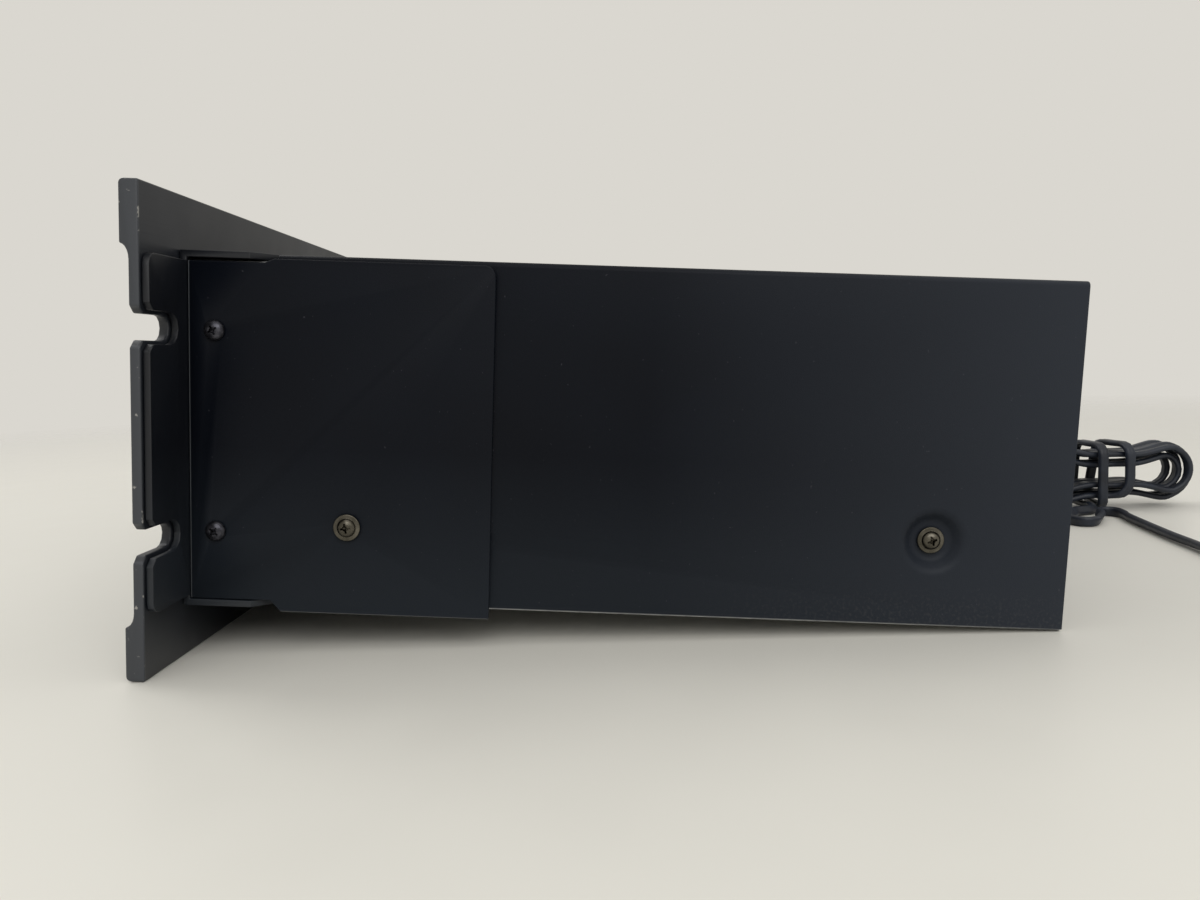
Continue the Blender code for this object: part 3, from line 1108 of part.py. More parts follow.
BEHIND_WEB = WEB_BACK + SEAT
KNOB_FRONT = FACE_Y - PLAY
POT_SHARE = 0.15
POT_HALF = (JACK_Z - KEY_Z) * POT_SHARE
POT_LENGTH = 8 * MM
POT_ENTRY = 6 * MM
POINTER_HALF = 0.6 * MM
POINTER_DEPTH = 0.8 * MM
JACK_NUT_RADIUS = 7 * MM
JACK_NUT_THICKNESS = 2 * MM
JACK_BODY_HALF = 7 * MM
JACK_BODY_LENGTH = 18 * MM
JACK_BORE = 3.25 * MM
JACK_BORE_DEPTH = 20 * MM


def make_phones_controls():
    nut_low = FACE_Y - SEAT - JACK_NUT_THICKNESS
    nut = drum("phones_jack", JACK_NUT_RADIUS, (LEFT_X, nut_low, JACK_Z), JACK_NUT_THICKNESS, "y", ZINC)
    barrel_length = BEHIND_WEB + BITE - FACE_Y + SEAT + BITE
    barrel_start = (LEFT_X, FACE_Y - SEAT - BITE, JACK_Z)
    join(nut, drum("jack_barrel", JACK_BARREL_RADIUS, barrel_start, barrel_length, "y"))
    low = (LEFT_X - JACK_BODY_HALF, BEHIND_WEB, JACK_Z - JACK_BODY_HALF)
    high = (LEFT_X + JACK_BODY_HALF, BEHIND_WEB + JACK_BODY_LENGTH, JACK_Z + JACK_BODY_HALF)
    join(nut, block("jack_body", low, high))
    drill(nut, "jack_bore", JACK_BORE, (LEFT_X, nut_low - OVERRUN, JACK_Z), OVERRUN + JACK_BORE_DEPTH, "y")
    pot_low = (LEFT_X - POT_HALF, BEHIND_WEB, LEVEL_Z - POT_HALF)
    pot_high = (LEFT_X + POT_HALF, BEHIND_WEB + POT_LENGTH, LEVEL_Z + POT_HALF)
    pot = block("level_pot", pot_low, pot_high, ZINC)
    bore_start = (LEFT_X, BEHIND_WEB - OVERRUN, LEVEL_Z)
    drill(pot, "pot_bore", SHAFT_RADIUS + PLAY, bore_start, OVERRUN + POT_ENTRY + SEAT, "y")
    shaft_end = BEHIND_WEB + POT_ENTRY
    tip = KNOB_FRONT - LEVEL_KNOB_LENGTH
    profile = [(0, shaft_end), (SHAFT_RADIUS, shaft_end), (SHAFT_RADIUS, KNOB_FRONT)]
    profile += [(LEVEL_KNOB_RADIUS, KNOB_FRONT), (LEVEL_KNOB_RADIUS, tip + EDGE)]
    profile += [(LEVEL_KNOB_RADIUS - EDGE, tip), (0, tip)]
    knob = turned("level_knob", profile, (LEFT_X, 0, LEVEL_Z), "y", GREY_PLASTIC)
    pointer_low = (LEFT_X - POINTER_HALF, tip - OVERRUN, LEVEL_Z + POINTER_HALF)
    pointer_high = (LEFT_X + POINTER_HALF, tip + POINTER_DEPTH, LEVEL_Z + LEVEL_KNOB_RADIUS + OVERRUN)
    cut(knob, block("level_pointer", pointer_low, pointer_high))


RING_DEPTH = 9 * MM
RING_BASE = 1.5 * MM
RING_GAP = 0.8 * MM
DIAL_DEPTH = 15 * MM
SLEEVE_INSET = 0.7 * MM
ENCODER_HALF = 20 * MM
ENCODER_LENGTH = 12 * MM
ENCODER_ENTRY = 7 * MM
FINGER_RADIUS = 6 * MM
FINGER_BOTTOM = 4.5 * MM
FINGER_DEPTH = 1.5 * MM
FINGER_OFFSET = 13 * MM
GRIP_WIDTH = 3 * MM
GRIP_DEPTH = 1 * MM


def make_dial():
    """The shuttle ring, which turns on a sleeve, and the jog dial in it, its shaft through the sleeve."""
    bore = SHAFT_RADIUS + PLAY
    ring_tip = KNOB_FRONT - RING_DEPTH
    ring_inner = DIAL_RADIUS + RING_GAP
    base = KNOB_FRONT - RING_BASE
    sleeve_end = WEB_BACK - SLEEVE_INSET
    profile = [(bore, sleeve_end), (SLEEVE_RADIUS, sleeve_end), (SLEEVE_RADIUS, KNOB_FRONT)]
    profile += [(RING_RADIUS, KNOB_FRONT), (RING_RADIUS, ring_tip + EDGE), (RING_RADIUS - EDGE, ring_tip)]
    profile += [(ring_inner + EDGE, ring_tip), (ring_inner, ring_tip + EDGE), (ring_inner, base)]
    profile.append((bore, base))
    ring = turned("shuttle_ring", profile, (DIAL_X, 0, MIDDLE_Z), "y", GREY_PLASTIC, FINE, ring=True)
    grip_low = (DIAL_X - GRIP_WIDTH / 2, ring_tip - OVERRUN, MIDDLE_Z + ring_inner - OVERRUN)
    grip_high = (DIAL_X + GRIP_WIDTH / 2, ring_tip + GRIP_DEPTH, MIDDLE_Z + RING_RADIUS + OVERRUN)
    cut(ring, block("ring_grip", grip_low, grip_high))
    dial_back = base - PLAY
    dial_tip = KNOB_FRONT - DIAL_DEPTH
    shaft_end = BEHIND_WEB + ENCODER_ENTRY
    profile = [(0, shaft_end), (SHAFT_RADIUS, shaft_end), (SHAFT_RADIUS, dial_back), (DIAL_RADIUS, dial_back)]
    profile += [(DIAL_RADIUS, dial_tip + EDGE), (DIAL_RADIUS - EDGE, dial_tip), (0, dial_tip)]
    dial = turned("jog_dial", profile, (DIAL_X, 0, MIDDLE_Z), "y", GREY_PLASTIC, FINE)
    finger_start = (DIAL_X + FINGER_OFFSET, dial_tip - OVERRUN, MIDDLE_Z)
    finger_length = OVERRUN + FINGER_DEPTH
    cut(dial, drum("finger_dish", FINGER_RADIUS, finger_start, finger_length, "y", end_radius=FINGER_BOTTOM))
    low = (DIAL_X - ENCODER_HALF, BEHIND_WEB, MIDDLE_Z - ENCODER_HALF)
    high = (DIAL_X + ENCODER_HALF, BEHIND_WEB + ENCODER_LENGTH, MIDDLE_Z + ENCODER_HALF)
    encoder = block("dial_encoder", low, high, BLACK_PLASTIC)
    bore_start = (DIAL_X, BEHIND_WEB - OVERRUN, MIDDLE_Z)
    drill(encoder, "encoder_bore", bore, bore_start, OVERRUN + ENCODER_ENTRY + SEAT, "y")


FADER_END = 6 * MM
FADER_HALF_HEIGHT = 5 * MM
FADER_LENGTH = 10 * MM
FADER_ENTRY = 5 * MM
PITCH_CAP = (8 * MM, 12 * MM, 7 * MM)


def make_pitch_control():
    stem_x, stem_z = PITCH_STEM
    half_width = PITCH_TRAVEL + stem_x / 2 + PITCH_SLOT_GAP + FADER_END
    low = (DISPLAY_X - half_width, BEHIND_WEB, PITCH_Z - FADER_HALF_HEIGHT)
    high = (DISPLAY_X + half_width, BEHIND_WEB + FADER_LENGTH, PITCH_Z + FADER_HALF_HEIGHT)
    fader = block("pitch_fader", low, high, ZINC)
    slot_half = PITCH_TRAVEL + stem_x / 2 + PITCH_SLOT_GAP
    slot_low = (DISPLAY_X - slot_half, BEHIND_WEB - OVERRUN, PITCH_Z - stem_z / 2 - PITCH_SLOT_GAP)
    slot_back = BEHIND_WEB + FADER_ENTRY + SEAT
    slot_high = (DISPLAY_X + slot_half, slot_back, PITCH_Z + stem_z / 2 + PITCH_SLOT_GAP)
    cut(fader, block("fader_slot", slot_low, slot_high))
    cap_width, cap_height, cap_depth = PITCH_CAP
    cap_low = (DISPLAY_X - cap_width / 2, KNOB_FRONT - cap_depth, PITCH_Z - cap_height / 2)
    cap_high = (DISPLAY_X + cap_width / 2, KNOB_FRONT, PITCH_Z + cap_height / 2)
    cap = block("pitch_knob", cap_low, cap_high, GREY_PLASTIC)
    stem_low = (DISPLAY_X - stem_x / 2, KNOB_FRONT - BITE, PITCH_Z - stem_z / 2)
    stem_high = (DISPLAY_X + stem_x / 2, BEHIND_WEB + FADER_ENTRY, PITCH_Z + stem_z / 2)
    join(cap, block("pitch_stem", stem_low, stem_high))


# Electronics on the base
LEG_RADIUS = 3 * MM
LEG_INSET = 6 * MM
BOARD_RISE = 6 * MM
BOARD_THICKNESS = 1.6 * MM
BOARD_GAP = 20 * MM
MAIN_WIDTH = 100 * MM
MAIN_START = 50 * MM
MAIN_REAR_GAP = 20 * MM
POWER_WIDTH = 95 * MM
POWER_SIDE_GAP = 9 * MM
POWER_START = 60 * MM
POWER_LENGTH = 90 * MM
TRANSFORMER_SIDE_GAP = 23 * MM
TRANSFORMER_REAR_GAP = 24 * MM
TRANSFORMER_WIDTH = 62 * MM
TRANSFORMER_LENGTH = 52 * MM
TRANSFORMER_HEIGHT = 48 * MM
WINDING_SHARE = 0.62
WINDING_OUT = 7 * MM
# Parts on each board as shares of its width and length, with their heights
MAIN_PART_SHARES = (
    ((0.12, 0.15), (0.3, 0.27), 3 * MM),
    ((0.42, 0.2), (0.68, 0.34), 3 * MM),
    ((0.2, 0.45), (0.5, 0.6), 4 * MM),
    ((0.62, 0.5), (0.85, 0.6), 3 * MM),
    ((0.1, 0.84), (0.9, 0.94), 11 * MM),
)
POWER_PART_SHARES = (
    ((0.08, 0.55), (0.3, 0.9), 34 * MM),
    ((0.38, 0.62), (0.58, 0.82), 26 * MM),
    ((0.66, 0.62), (0.86, 0.82), 26 * MM),
    ((0.15, 0.12), (0.85, 0.2), 30 * MM),
)


def make_board(name, low, size, shares):
    """A circuit board on four round legs with blocky parts on it, in one body."""
    high = (low[0] + size[0], low[1] + size[1], low[2] + BOARD_THICKNESS)
    board = block(name, low, high, BOARD_GREEN)
    for i, x in enumerate((low[0] + LEG_INSET, high[0] - LEG_INSET)):
        for j, y in enumerate((low[1] + LEG_INSET, high[1] - LEG_INSET)):
            foot = (x, y, PAN_TOP + SEAT)
            leg_name = f"{name}_leg_{i}_{j}"
            join(board, drum(leg_name, LEG_RADIUS, foot, BOARD_RISE + BITE, "z", sides=COARSE))
    for i, (first, last, height) in enumerate(shares):
        part_low = (low[0] + size[0] * first[0], low[1] + size[1] * first[1], high[2] - BITE)
        part_high = (low[0] + size[0] * last[0], low[1] + size[1] * last[1], high[2] + height)
        join(board, block(f"{name}_part_{i}", part_low, part_high))


def make_electronics():
    board_z = PAN_TOP + SEAT + BOARD_RISE
    main_low = (TRAY_X + LOADER_OUTER + BOARD_GAP, MAIN_START, board_z)
    main_size = (MAIN_WIDTH, CASE_LENGTH - MAIN_REAR_GAP - MAIN_START)
    make_board("main_board", main_low, main_size, MAIN_PART_SHARES)
    power_low = (WALL_INNER_X - POWER_SIDE_GAP - POWER_WIDTH, POWER_START, board_z)
    make_board("power_board", power_low, (POWER_WIDTH, POWER_LENGTH), POWER_PART_SHARES)
    high_x = WALL_INNER_X - TRANSFORMER_SIDE_GAP
    high_y = CASE_LENGTH - TRANSFORMER_REAR_GAP
    low = (high_x - TRANSFORMER_WIDTH, high_y - TRANSFORMER_LENGTH + WINDING_OUT, PAN_TOP + SEAT)
    core = block("transformer", low, (high_x, high_y - WINDING_OUT, low[2] + TRANSFORMER_HEIGHT), COPPER)
    middle_x, middle_z = high_x - TRANSFORMER_WIDTH / 2, low[2] + TRANSFORMER_HEIGHT / 2
    half_x, half_z = TRANSFORMER_WIDTH * WINDING_SHARE / 2, TRANSFORMER_HEIGHT * WINDING_SHARE / 2
    winding_low = (middle_x - half_x, high_y - TRANSFORMER_LENGTH, middle_z - half_z)
    join(core, block("winding", winding_low, (middle_x + half_x, high_y, middle_z + half_z)))


# Mains cord: its routes are points on the table, across and up its slope, with a height above it
TABLE_ANGLE = math.atan2(CASE_BOTTOM, CASE_LENGTH)
CORD_DIAMETER = 4 * MM
CORD_RADIUS = CORD_DIAMETER / 2
CORD_STEP = 6 * MM
LAID = CORD_RADIUS + SEAT
CORD_BEVEL = 2
HANK_BEVEL = 1
LOOP_POINTS = 24
TURNS = 6
LAYERS = 4
LOOP_STEP = 5.2 * MM
LAYER_STEP = 5 * MM
BULGE = 14.6 * MM
WAIST_DROP = 3 * MM
HALF_RUN = 26 * MM
WRAP_GAP = 4.8 * MM
WRAP_FIRST = 5.3 * MM
WRAP_PITCH = 13.1 * MM
WRAP_LAST_DRIFT = 5 * MM
HANK_X = 10 * MM
HANK_ALONG = 374.8 * MM
PLUG_X = 178 * MM
PLUG_ALONG = 349 * MM
PLUG_BODY = (25 * MM, 22 * MM, 14 * MM)
PLUG_NOSE = 8 * MM
PLUG_NOSE_RADIUS = 3.2 * MM
PLUG_NOSE_END = 5 * MM
BLADE = (16 * MM, 1.5 * MM, 6.35 * MM)
BLADE_PITCH = 12.7 * MM


# The cord's routes in millimetres: across, up the slope, and a height where it isn't laid flat
LEAD_ROUTE = (
    (149.9, 273.4, 21.9), (149.6, 276.8, 18.4), (149, 279.4, 13), (147.8, 281.6, 8), (145.6, 283.6, 4.4),
    (141.6, 285.6), (134, 288.8), (120, 294.4), (97, 301.5), (70, 306.6), (45, 308.2), (27, 307.5),
    (16, 307.8), (8.8, 309.8), (4.4, 313.6),
)
TAIL_ROUTE = (
    (51, 336.2), (55.4, 336.3), (59.6, 338.2), (61, 342), (58.8, 345.8), (54.5, 348.8), (49.6, 352),
    (45, 354.9), (40.8, 356.2), (37.3, 357.6), (35.3, 360.4), (36.3, 364), (40, 365.8), (47, 365), (55, 363),
    (76, 360), (98.7, 357.2), (118, 355.6), (140, 352.6), (154, 350.3, 3.2), (163, 349.2, 5.8),
)
# The hank's way in as (distance, rise), the crossing to its wraps as (distance before them, shares of
# their gap upwards and across), and its way out
HANK_ENTRY = 48 * MM
HANK_ENTRY_ROUTE = ((0, 0), (4, 0), (12, 0.6))
CROSSING_SHARES = (
    (18.3 * MM, 0, 0), (11.3 * MM, 0, 0.02), (6.8 * MM, 0, 0.35), (3.3 * MM, 0.25, 0.85),
    (0.9 * MM, 0.875, 1), (0, 1.8, 1), (0, 3, 1),
)
HANK_EXIT_ROUTE = ((26.5, 360.4), (30, 356.2), (33, 349), (36.5, 346), (40, 343), (43.5, 340))
TAIL_STEP = 5 * MM
SAMPLE_STEP = 0.5 * MM
SEARCH_RADIUS = 8 * MM
NEAR_ALONG = 10 * MM


def on_table(x, along, height):
    """The place of a point given across the table, up its slope and above it."""
    rise, run = math.sin(TABLE_ANGLE), math.cos(TABLE_ANGLE)
    return Vector((x, along * run - height * rise, along * rise + height * run))


def laid(points):
    """Points on the table in millimetres, as (across, up the slope) or with a height, as places."""
    return [on_table(p[0] * MM, p[1] * MM, p[2] * MM if len(p) > 2 else LAID) for p in points]


def smooth(route, step):
    """A smooth curve through the route's points, read at about the given step."""
    extended = [2 * route[0] - route[1]] + list(route) + [2 * route[-1] - route[-2]]
    found = [route[0]]
    for before, start, end, after in zip(extended, extended[1:], extended[2:], extended[3:]):
        count = max(1, round((end - start).length / step))
        for i in range(1, count + 1):
            t = i / count
            bend = 2 * start + (end - before) * t + (2 * before - 5 * start + 4 * end - after) * t * t
            found.append((bend + (3 * start - before - 3 * end + after) * t ** 3) / 2)
    return found


def tube(name, points, bevel):
    curve = bpy.data.curves.new(name, "CURVE")
    curve.dimensions = "3D"
    curve.bevel_depth = CORD_RADIUS
    curve.bevel_resolution = bevel
    curve.use_fill_caps = True
    spline = curve.splines.new("POLY")
    spline.points.add(len(points) - 1)
    for point, place in zip(spline.points, points):
        point.co = (*place, 1)
    piece = bpy.data.objects.new(name, curve)
    piece.parent = FRAME
    PIECES.objects.link(piece)
    curve.materials.append(CORD_PVC)


def ease(share):
    share = min(max(share, 0), 1)
    return share * share * (3 - 2 * share)


def hank_loops():
    """Six turns, as (along, up, across) from the hank's middle, in a spiral through four layers."""
    turns_a_layer = TURNS / LAYERS
    half = round(LOOP_POINTS / 2)
    bulge_points = round(LOOP_POINTS / 3)
    run_points = half - bulge_points
    lead_in = run_points // 2
    found = []
    for k in range(-lead_in, round(TURNS * LOOP_POINTS) - 1):
        t = max(k, 0) / LOOP_POINTS
        layer, into = divmod(t, turns_a_layer)
        offset = LOOP_STEP * (into if layer % 2 == 0 else turns_a_layer - into)
        climbed = sum(ease((t - n * turns_a_layer) * 2 + 1 / 2) for n in range(1, LAYERS))
        across = (climbed - (LAYERS - 1) / 2) * LAYER_STEP
        radius = BULGE - offset
        position = (k + lead_in) % LOOP_POINTS
        side = 1 if position < half else -1
        place = position % half
        if place < run_points:
            along = HALF_RUN * (2 * place / run_points - 1)
            up = -radius + (WAIST_DROP if place else 0)
        else:
            angle = math.pi * (place - run_points) / bulge_points
            along = HALF_RUN + radius * math.sin(angle)
            up = -radius * math.cos(angle)
        found.append((side * along, side * up, across))
    return found


def hank_wraps():
    """The crossing from the loops, then two turns of the cord round the hank's waist, which end under it."""
    edge = (LAYERS - 1) / 2 * LAYER_STEP
    low, high = WAIST_DROP - BULGE, BULGE - WAIST_DROP - LOOP_STEP / 2
    found = [
        (WRAP_FIRST - before, low + WRAP_GAP * up_share, edge + WRAP_GAP * across_share)
        for before, up_share, across_share in CROSSING_SHARES
    ]
    corners = ((edge, high), (-edge, high), (-edge, low), (edge, low))
    arcs = [arc(corner, (WRAP_GAP, WRAP_GAP), 90 * i, 90 * i + 90, 3) for i, corner in enumerate(corners)]
    ring = []
    for bend, following in zip(arcs, arcs[1:] + arcs[:1]):
        last, first = bend[-1], following[0]
        ring += bend + [((last[0] + first[0]) / 2, (last[1] + first[1]) / 2)]
    lengths = [sum(map(math.dist, ring[:i], ring[1:i + 1])) for i in range(len(ring))]
    second = WRAP_FIRST - WRAP_PITCH
    for start, drift, used in (
        (WRAP_FIRST, WRAP_PITCH, len(ring)), (second, WRAP_LAST_DRIFT, 1 - len(arcs[-1])),
    ):
        shares = [min(length / lengths[-2], 1) for length in lengths]
        placed = list(zip(ring, shares))[:used]
        found += [(start - drift * share, up, across) for (across, up), share in placed]
    return found


def make_cord():
    """The lead from the player, the hank with its wraps, the tail that lies on the table, and the plug."""
    exit_place = Vector((EXIT_X, EXIT_Y + SEAT, EXIT_Z))
    straight = Vector((0, CORD_DIAMETER, 0))
    hank_height = BULGE - WAIST_DROP + WRAP_GAP + LAID
    hank_start = (HANK_X - (LAYERS - 1) / 2 * LAYER_STEP, HANK_ALONG - HANK_ENTRY)
    wound = hank_loops() + hank_wraps()
    loops = [on_table(HANK_X + across, HANK_ALONG + along, hank_height + up) for along, up, across in wound]
    entry = [
        on_table(hank_start[0], hank_start[1] + step * MM, LAID + rise * MM)
        for step, rise in HANK_ENTRY_ROUTE
    ]
    leaving = laid(HANK_EXIT_ROUTE)
    hank = smooth(entry + loops[:1], CORD_STEP)[:-1] + loops + smooth(loops[-1:] + leaving, CORD_STEP)[1:]
    lead_end = on_table(hank_start[0], hank_start[1] - SEAT, LAID)
    into_hank = on_table(0, CORD_DIAMETER, 0)
    lead_route = [exit_place, exit_place + straight] + laid(LEAD_ROUTE)
    lead_route += [lead_end - 2 * into_hank, lead_end - into_hank, lead_end]
    lead = smooth(lead_route, CORD_STEP)
    onward = (hank[-1] - hank[-2]).normalized()
    tail_start = hank[-1] + onward * SEAT
    plug_height = PLUG_BODY[2] / 2 + SEAT
    tail_end = on_table(PLUG_X - SEAT, PLUG_ALONG, plug_height)
    back = Vector((CORD_DIAMETER, 0, 0))
    tail_route = [tail_start, tail_start + onward * CORD_DIAMETER] + laid(TAIL_ROUTE)
    tail_route += [tail_end - 2 * back, tail_end - back, tail_end]
    tail = smooth(tail_route, TAIL_STEP)
    tube("cord_lead", lead, CORD_BEVEL)
    tube("cord_hank", hank, HANK_BEVEL)
    tube("cord_tail", tail, CORD_BEVEL)
    make_plug(plug_height)
    report_cord(("lead", lead), ("hank", hank), ("tail", tail))


def make_plug(height):
    """A flat plug with two parallel blades, lying on the table."""
    body_length, body_width, body_height = PLUG_BODY
    body_x = PLUG_X + PLUG_NOSE
    half = Vector(PLUG_BODY) / 2
    plug = block("plug", -half, half, CORD_PVC)
    plug.location = on_table(body_x + body_length / 2, PLUG_ALONG, height)
    plug.rotation_euler = (TABLE_ANGLE, 0, 0)
    nose_start = on_table(PLUG_X, PLUG_ALONG, height)
    nose_length = PLUG_NOSE + BITE
    nose = drum("plug_nose", PLUG_NOSE_RADIUS, nose_start, nose_length, "x", end_radius=PLUG_NOSE_END)
    join(plug, nose)
    half_blade = Vector((BLADE[0] + BITE, BLADE[1], BLADE[2])) / 2
    blade_x = body_x + body_length + (BLADE[0] - BITE) / 2
    for side in (1, -1):
        blade = block(f"blade_{side}", -half_blade, half_blade)
        blade.location = on_table(blade_x, PLUG_ALONG + side * BLADE_PITCH / 2, height)
        blade.rotation_euler = (TABLE_ANGLE, 0, 0)
        join(plug, blade)


def report_cord(*stretches):
    """Print each stretch's length, and the least gap between strands that aren't neighbours."""
    samples = []
    travelled = 0
    for name, points in stretches:
        length = sum((end - start).length for start, end in zip(points, points[1:]))
        print(f"cord {name}: {length / MM:.0f} mm in {len(points)} points")
        for start, end in zip(points, points[1:]):
            run = (end - start).length
            count = max(1, math.ceil(run / SAMPLE_STEP))
            samples += [(start.lerp(end, i / count), travelled + run * i / count) for i in range(count)]
            travelled += run
    tree = KDTree(len(samples))
    for i, (place, _) in enumerate(samples):
        tree.insert(place, i)
    tree.balance()
    least = min(
        distance
        for place, at in samples
        for _, i, distance in tree.find_range(place, SEARCH_RADIUS)
        if abs(samples[i][1] - at) > NEAR_ALONG
    )
    least_gap = (least - CORD_DIAMETER) / MM
    print(f"cord in all: {travelled / MM:.0f} mm, least gap between strands {least_gap:.2f} mm")


holes = list(side_screw_holes())
make_front_panel()
web = make_sub_panel()
cut(web, *holes[:2])
make_side_plates(holes)
make_chassis_pan(holes)
make_top_cover(holes)
make_rear()
make_side_screws()
make_tray()
make_loader_frame()
make_loading_drive()
make_traverse()
make_spindle()
make_pickup()
make_cam_slider()
make_clamp()
make_buttons()
make_display()
make_phones_controls()
make_dial()
make_pitch_control()
make_electronics()
make_cord()
FRONT_MOST = KNOB_FRONT - DIAL_DEPTH
FRAME.location.y = -(FRONT_MOST + EXIT_Y) / 2
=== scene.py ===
"""Looks of a rack-mount CD player, seen from its right side, on a plain pale table."""

import json
import math

import bmesh
import bpy
from mathutils import Matrix, Vector


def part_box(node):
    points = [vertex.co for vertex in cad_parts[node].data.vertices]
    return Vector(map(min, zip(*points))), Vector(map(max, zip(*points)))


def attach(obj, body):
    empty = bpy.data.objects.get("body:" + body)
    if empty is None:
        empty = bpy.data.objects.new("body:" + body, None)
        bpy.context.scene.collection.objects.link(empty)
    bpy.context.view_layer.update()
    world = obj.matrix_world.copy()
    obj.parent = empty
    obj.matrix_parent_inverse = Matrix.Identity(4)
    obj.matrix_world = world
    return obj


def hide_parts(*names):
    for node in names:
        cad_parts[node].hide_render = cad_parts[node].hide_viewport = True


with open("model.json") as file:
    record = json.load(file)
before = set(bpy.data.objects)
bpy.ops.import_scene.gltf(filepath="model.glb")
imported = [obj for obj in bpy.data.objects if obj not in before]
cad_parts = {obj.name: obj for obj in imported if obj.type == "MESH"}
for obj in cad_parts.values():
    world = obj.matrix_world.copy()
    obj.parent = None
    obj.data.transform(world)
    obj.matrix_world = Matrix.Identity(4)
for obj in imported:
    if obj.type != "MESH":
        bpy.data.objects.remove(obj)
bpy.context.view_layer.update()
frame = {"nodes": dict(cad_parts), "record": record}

MM = 0.001
# The solids are drawn from the panel's rear face, and the part's own middle lies this far behind it
PANEL_SHIFT = Vector((0, -0.123975, 0))
# The player rests on its panel's lower edge and on the rear of its case, so the table slopes by this much
TABLE_ANGLE = math.atan2(16.6, 255.1)
BODY_OF = {node: body for body, nodes in frame["record"]["behaviour"]["bodies"].items() for node in nodes}
SLOT_OF = {part["node"]: part["material_slot"] for part in frame["record"]["subparts"]}


# Camera, at the photograph's place

SENSOR_WIDTH = 36
FOCAL_LENGTH = 28.056
CAMERA_PLACE = Vector((483.1, 123.5, 90.9)) * MM
CAMERA_RIGHT = Vector((-0.01697368, 0.99928646, 0.03374122))
CAMERA_UP = Vector((-0.09773041, -0.03524263, 0.99458872))
CAMERA_FORWARD = Vector((-0.99506817, -0.01358428, -0.09825887))


def make_camera():
    data = bpy.data.cameras.new("photo_camera")
    data.sensor_width = SENSOR_WIDTH
    data.lens = FOCAL_LENGTH
    data.clip_start = 0.01
    data.clip_end = 30
    camera = bpy.data.objects.new("photo_camera", data)
    bpy.context.scene.collection.objects.link(camera)
    turn = Matrix((CAMERA_RIGHT, CAMERA_UP, -CAMERA_FORWARD)).transposed().to_4x4()
    camera.matrix_world = Matrix.Translation(CAMERA_PLACE + PANEL_SHIFT) @ turn
    bpy.context.scene.camera = camera


make_camera()


# Shader building

def tone(code, alpha=1.0):
    """An sRGB hex value as a linear colour."""
    parts = [int(code[i:i + 2], 16) / 255 for i in (1, 3, 5)]
    return (*(c / 12.92 if c <= 0.04045 else ((c + 0.055) / 1.055) ** 2.4 for c in parts), alpha)


def add(tree, kind, feeds=(), **settings):
    """Add a shader node with its settings, and feed its inputs with values or with other nodes' outputs."""
    node = tree.nodes.new(kind)
    for name, value in settings.items():
        setattr(node, name, value)
    for name, value in dict(feeds).items():
        if isinstance(value, bpy.types.NodeSocket):
            tree.links.new(value, node.inputs[name])
        else:
            node.inputs[name].default_value = value
    return node


class Finish:
    """A surface in the making: its node tree, where it is read, and its colour, roughness and height."""

    def __init__(self, name, code, roughness, metallic=0.0, specular=0.5, **sockets):
        self.material = bpy.data.materials.new(name)
        self.material.use_nodes = True
        self.tree = self.material.node_tree
        self.shader = self.tree.nodes["Principled BSDF"]
        self.place = add(self.tree, "ShaderNodeTexCoord").outputs["Object"]
        self.colour = tone(code)
        self.roughness = roughness
        self.height = None
        settings = {"Metallic": metallic, "Specular IOR Level": specular, **sockets}
        for socket, value in settings.items():
            self.shader.inputs[socket].default_value = value

    def noise(self, size, detail=3.0, stretch=(1, 1, 1), low=0.35, high=0.65):
        """Soft patches of about the given size in metres, spread over nought to one."""
        mapping = add(self.tree, "ShaderNodeMapping", {"Vector": self.place, "Scale": stretch})
        feeds = {"Vector": mapping.outputs["Vector"], "Scale": 1 / size, "Detail": detail}
        patches = add(self.tree, "ShaderNodeTexNoise", feeds)
        return self.spread(patches.outputs["Fac"], low, high)

    def spread(self, value, low, high, to_low=0.0, to_high=1.0):
        feeds = {0: value, 1: low, 2: high, 3: to_low, 4: to_high}
        return add(self.tree, "ShaderNodeMapRange", feeds, clamp=True).outputs[0]

    def times(self, first, second):
        return add(self.tree, "ShaderNodeMath", {0: first, 1: second}, operation="MULTIPLY").outputs[0]

    def along(self, axis):
        return add(self.tree, "ShaderNodeSeparateXYZ", {0: self.place}).outputs[axis]

    def size_of(self, value):
        return add(self.tree, "ShaderNodeMath", {0: value}, operation="ABSOLUTE").outputs[0]

    def paint(self, mask, code):
        """Lay another colour over the surface where the mask is one."""
        feeds = {0: mask, 6: self.colour, 7: tone(code)}
        self.colour = add(self.tree, "ShaderNodeMix", feeds, data_type="RGBA").outputs[2]
        return self

    def rub(self, mask, roughness):
        """Bring the roughness to another value where the mask is one."""
        feeds = {0: mask, 2: self.roughness, 3: roughness}
        self.roughness = add(self.tree, "ShaderNodeMix", feeds, data_type="FLOAT").outputs[0]
        return self

    def relief(self, value, depth, strength=1.0):
        """Raise the surface by a pattern, of a depth in metres."""
        feeds = {"Height": value, "Distance": depth, "Strength": strength}
        if self.height:
            feeds["Normal"] = self.height
        self.height = add(self.tree, "ShaderNodeBump", feeds).outputs["Normal"]
        return self

    def done(self):
        found = {"Base Color": self.colour, "Roughness": self.roughness, "Normal": self.height}
        for socket, value in found.items():
            if isinstance(value, bpy.types.NodeSocket):
                self.tree.links.new(value, self.shader.inputs[socket])
            elif value is not None:
                self.shader.inputs[socket].default_value = value
        return self.material


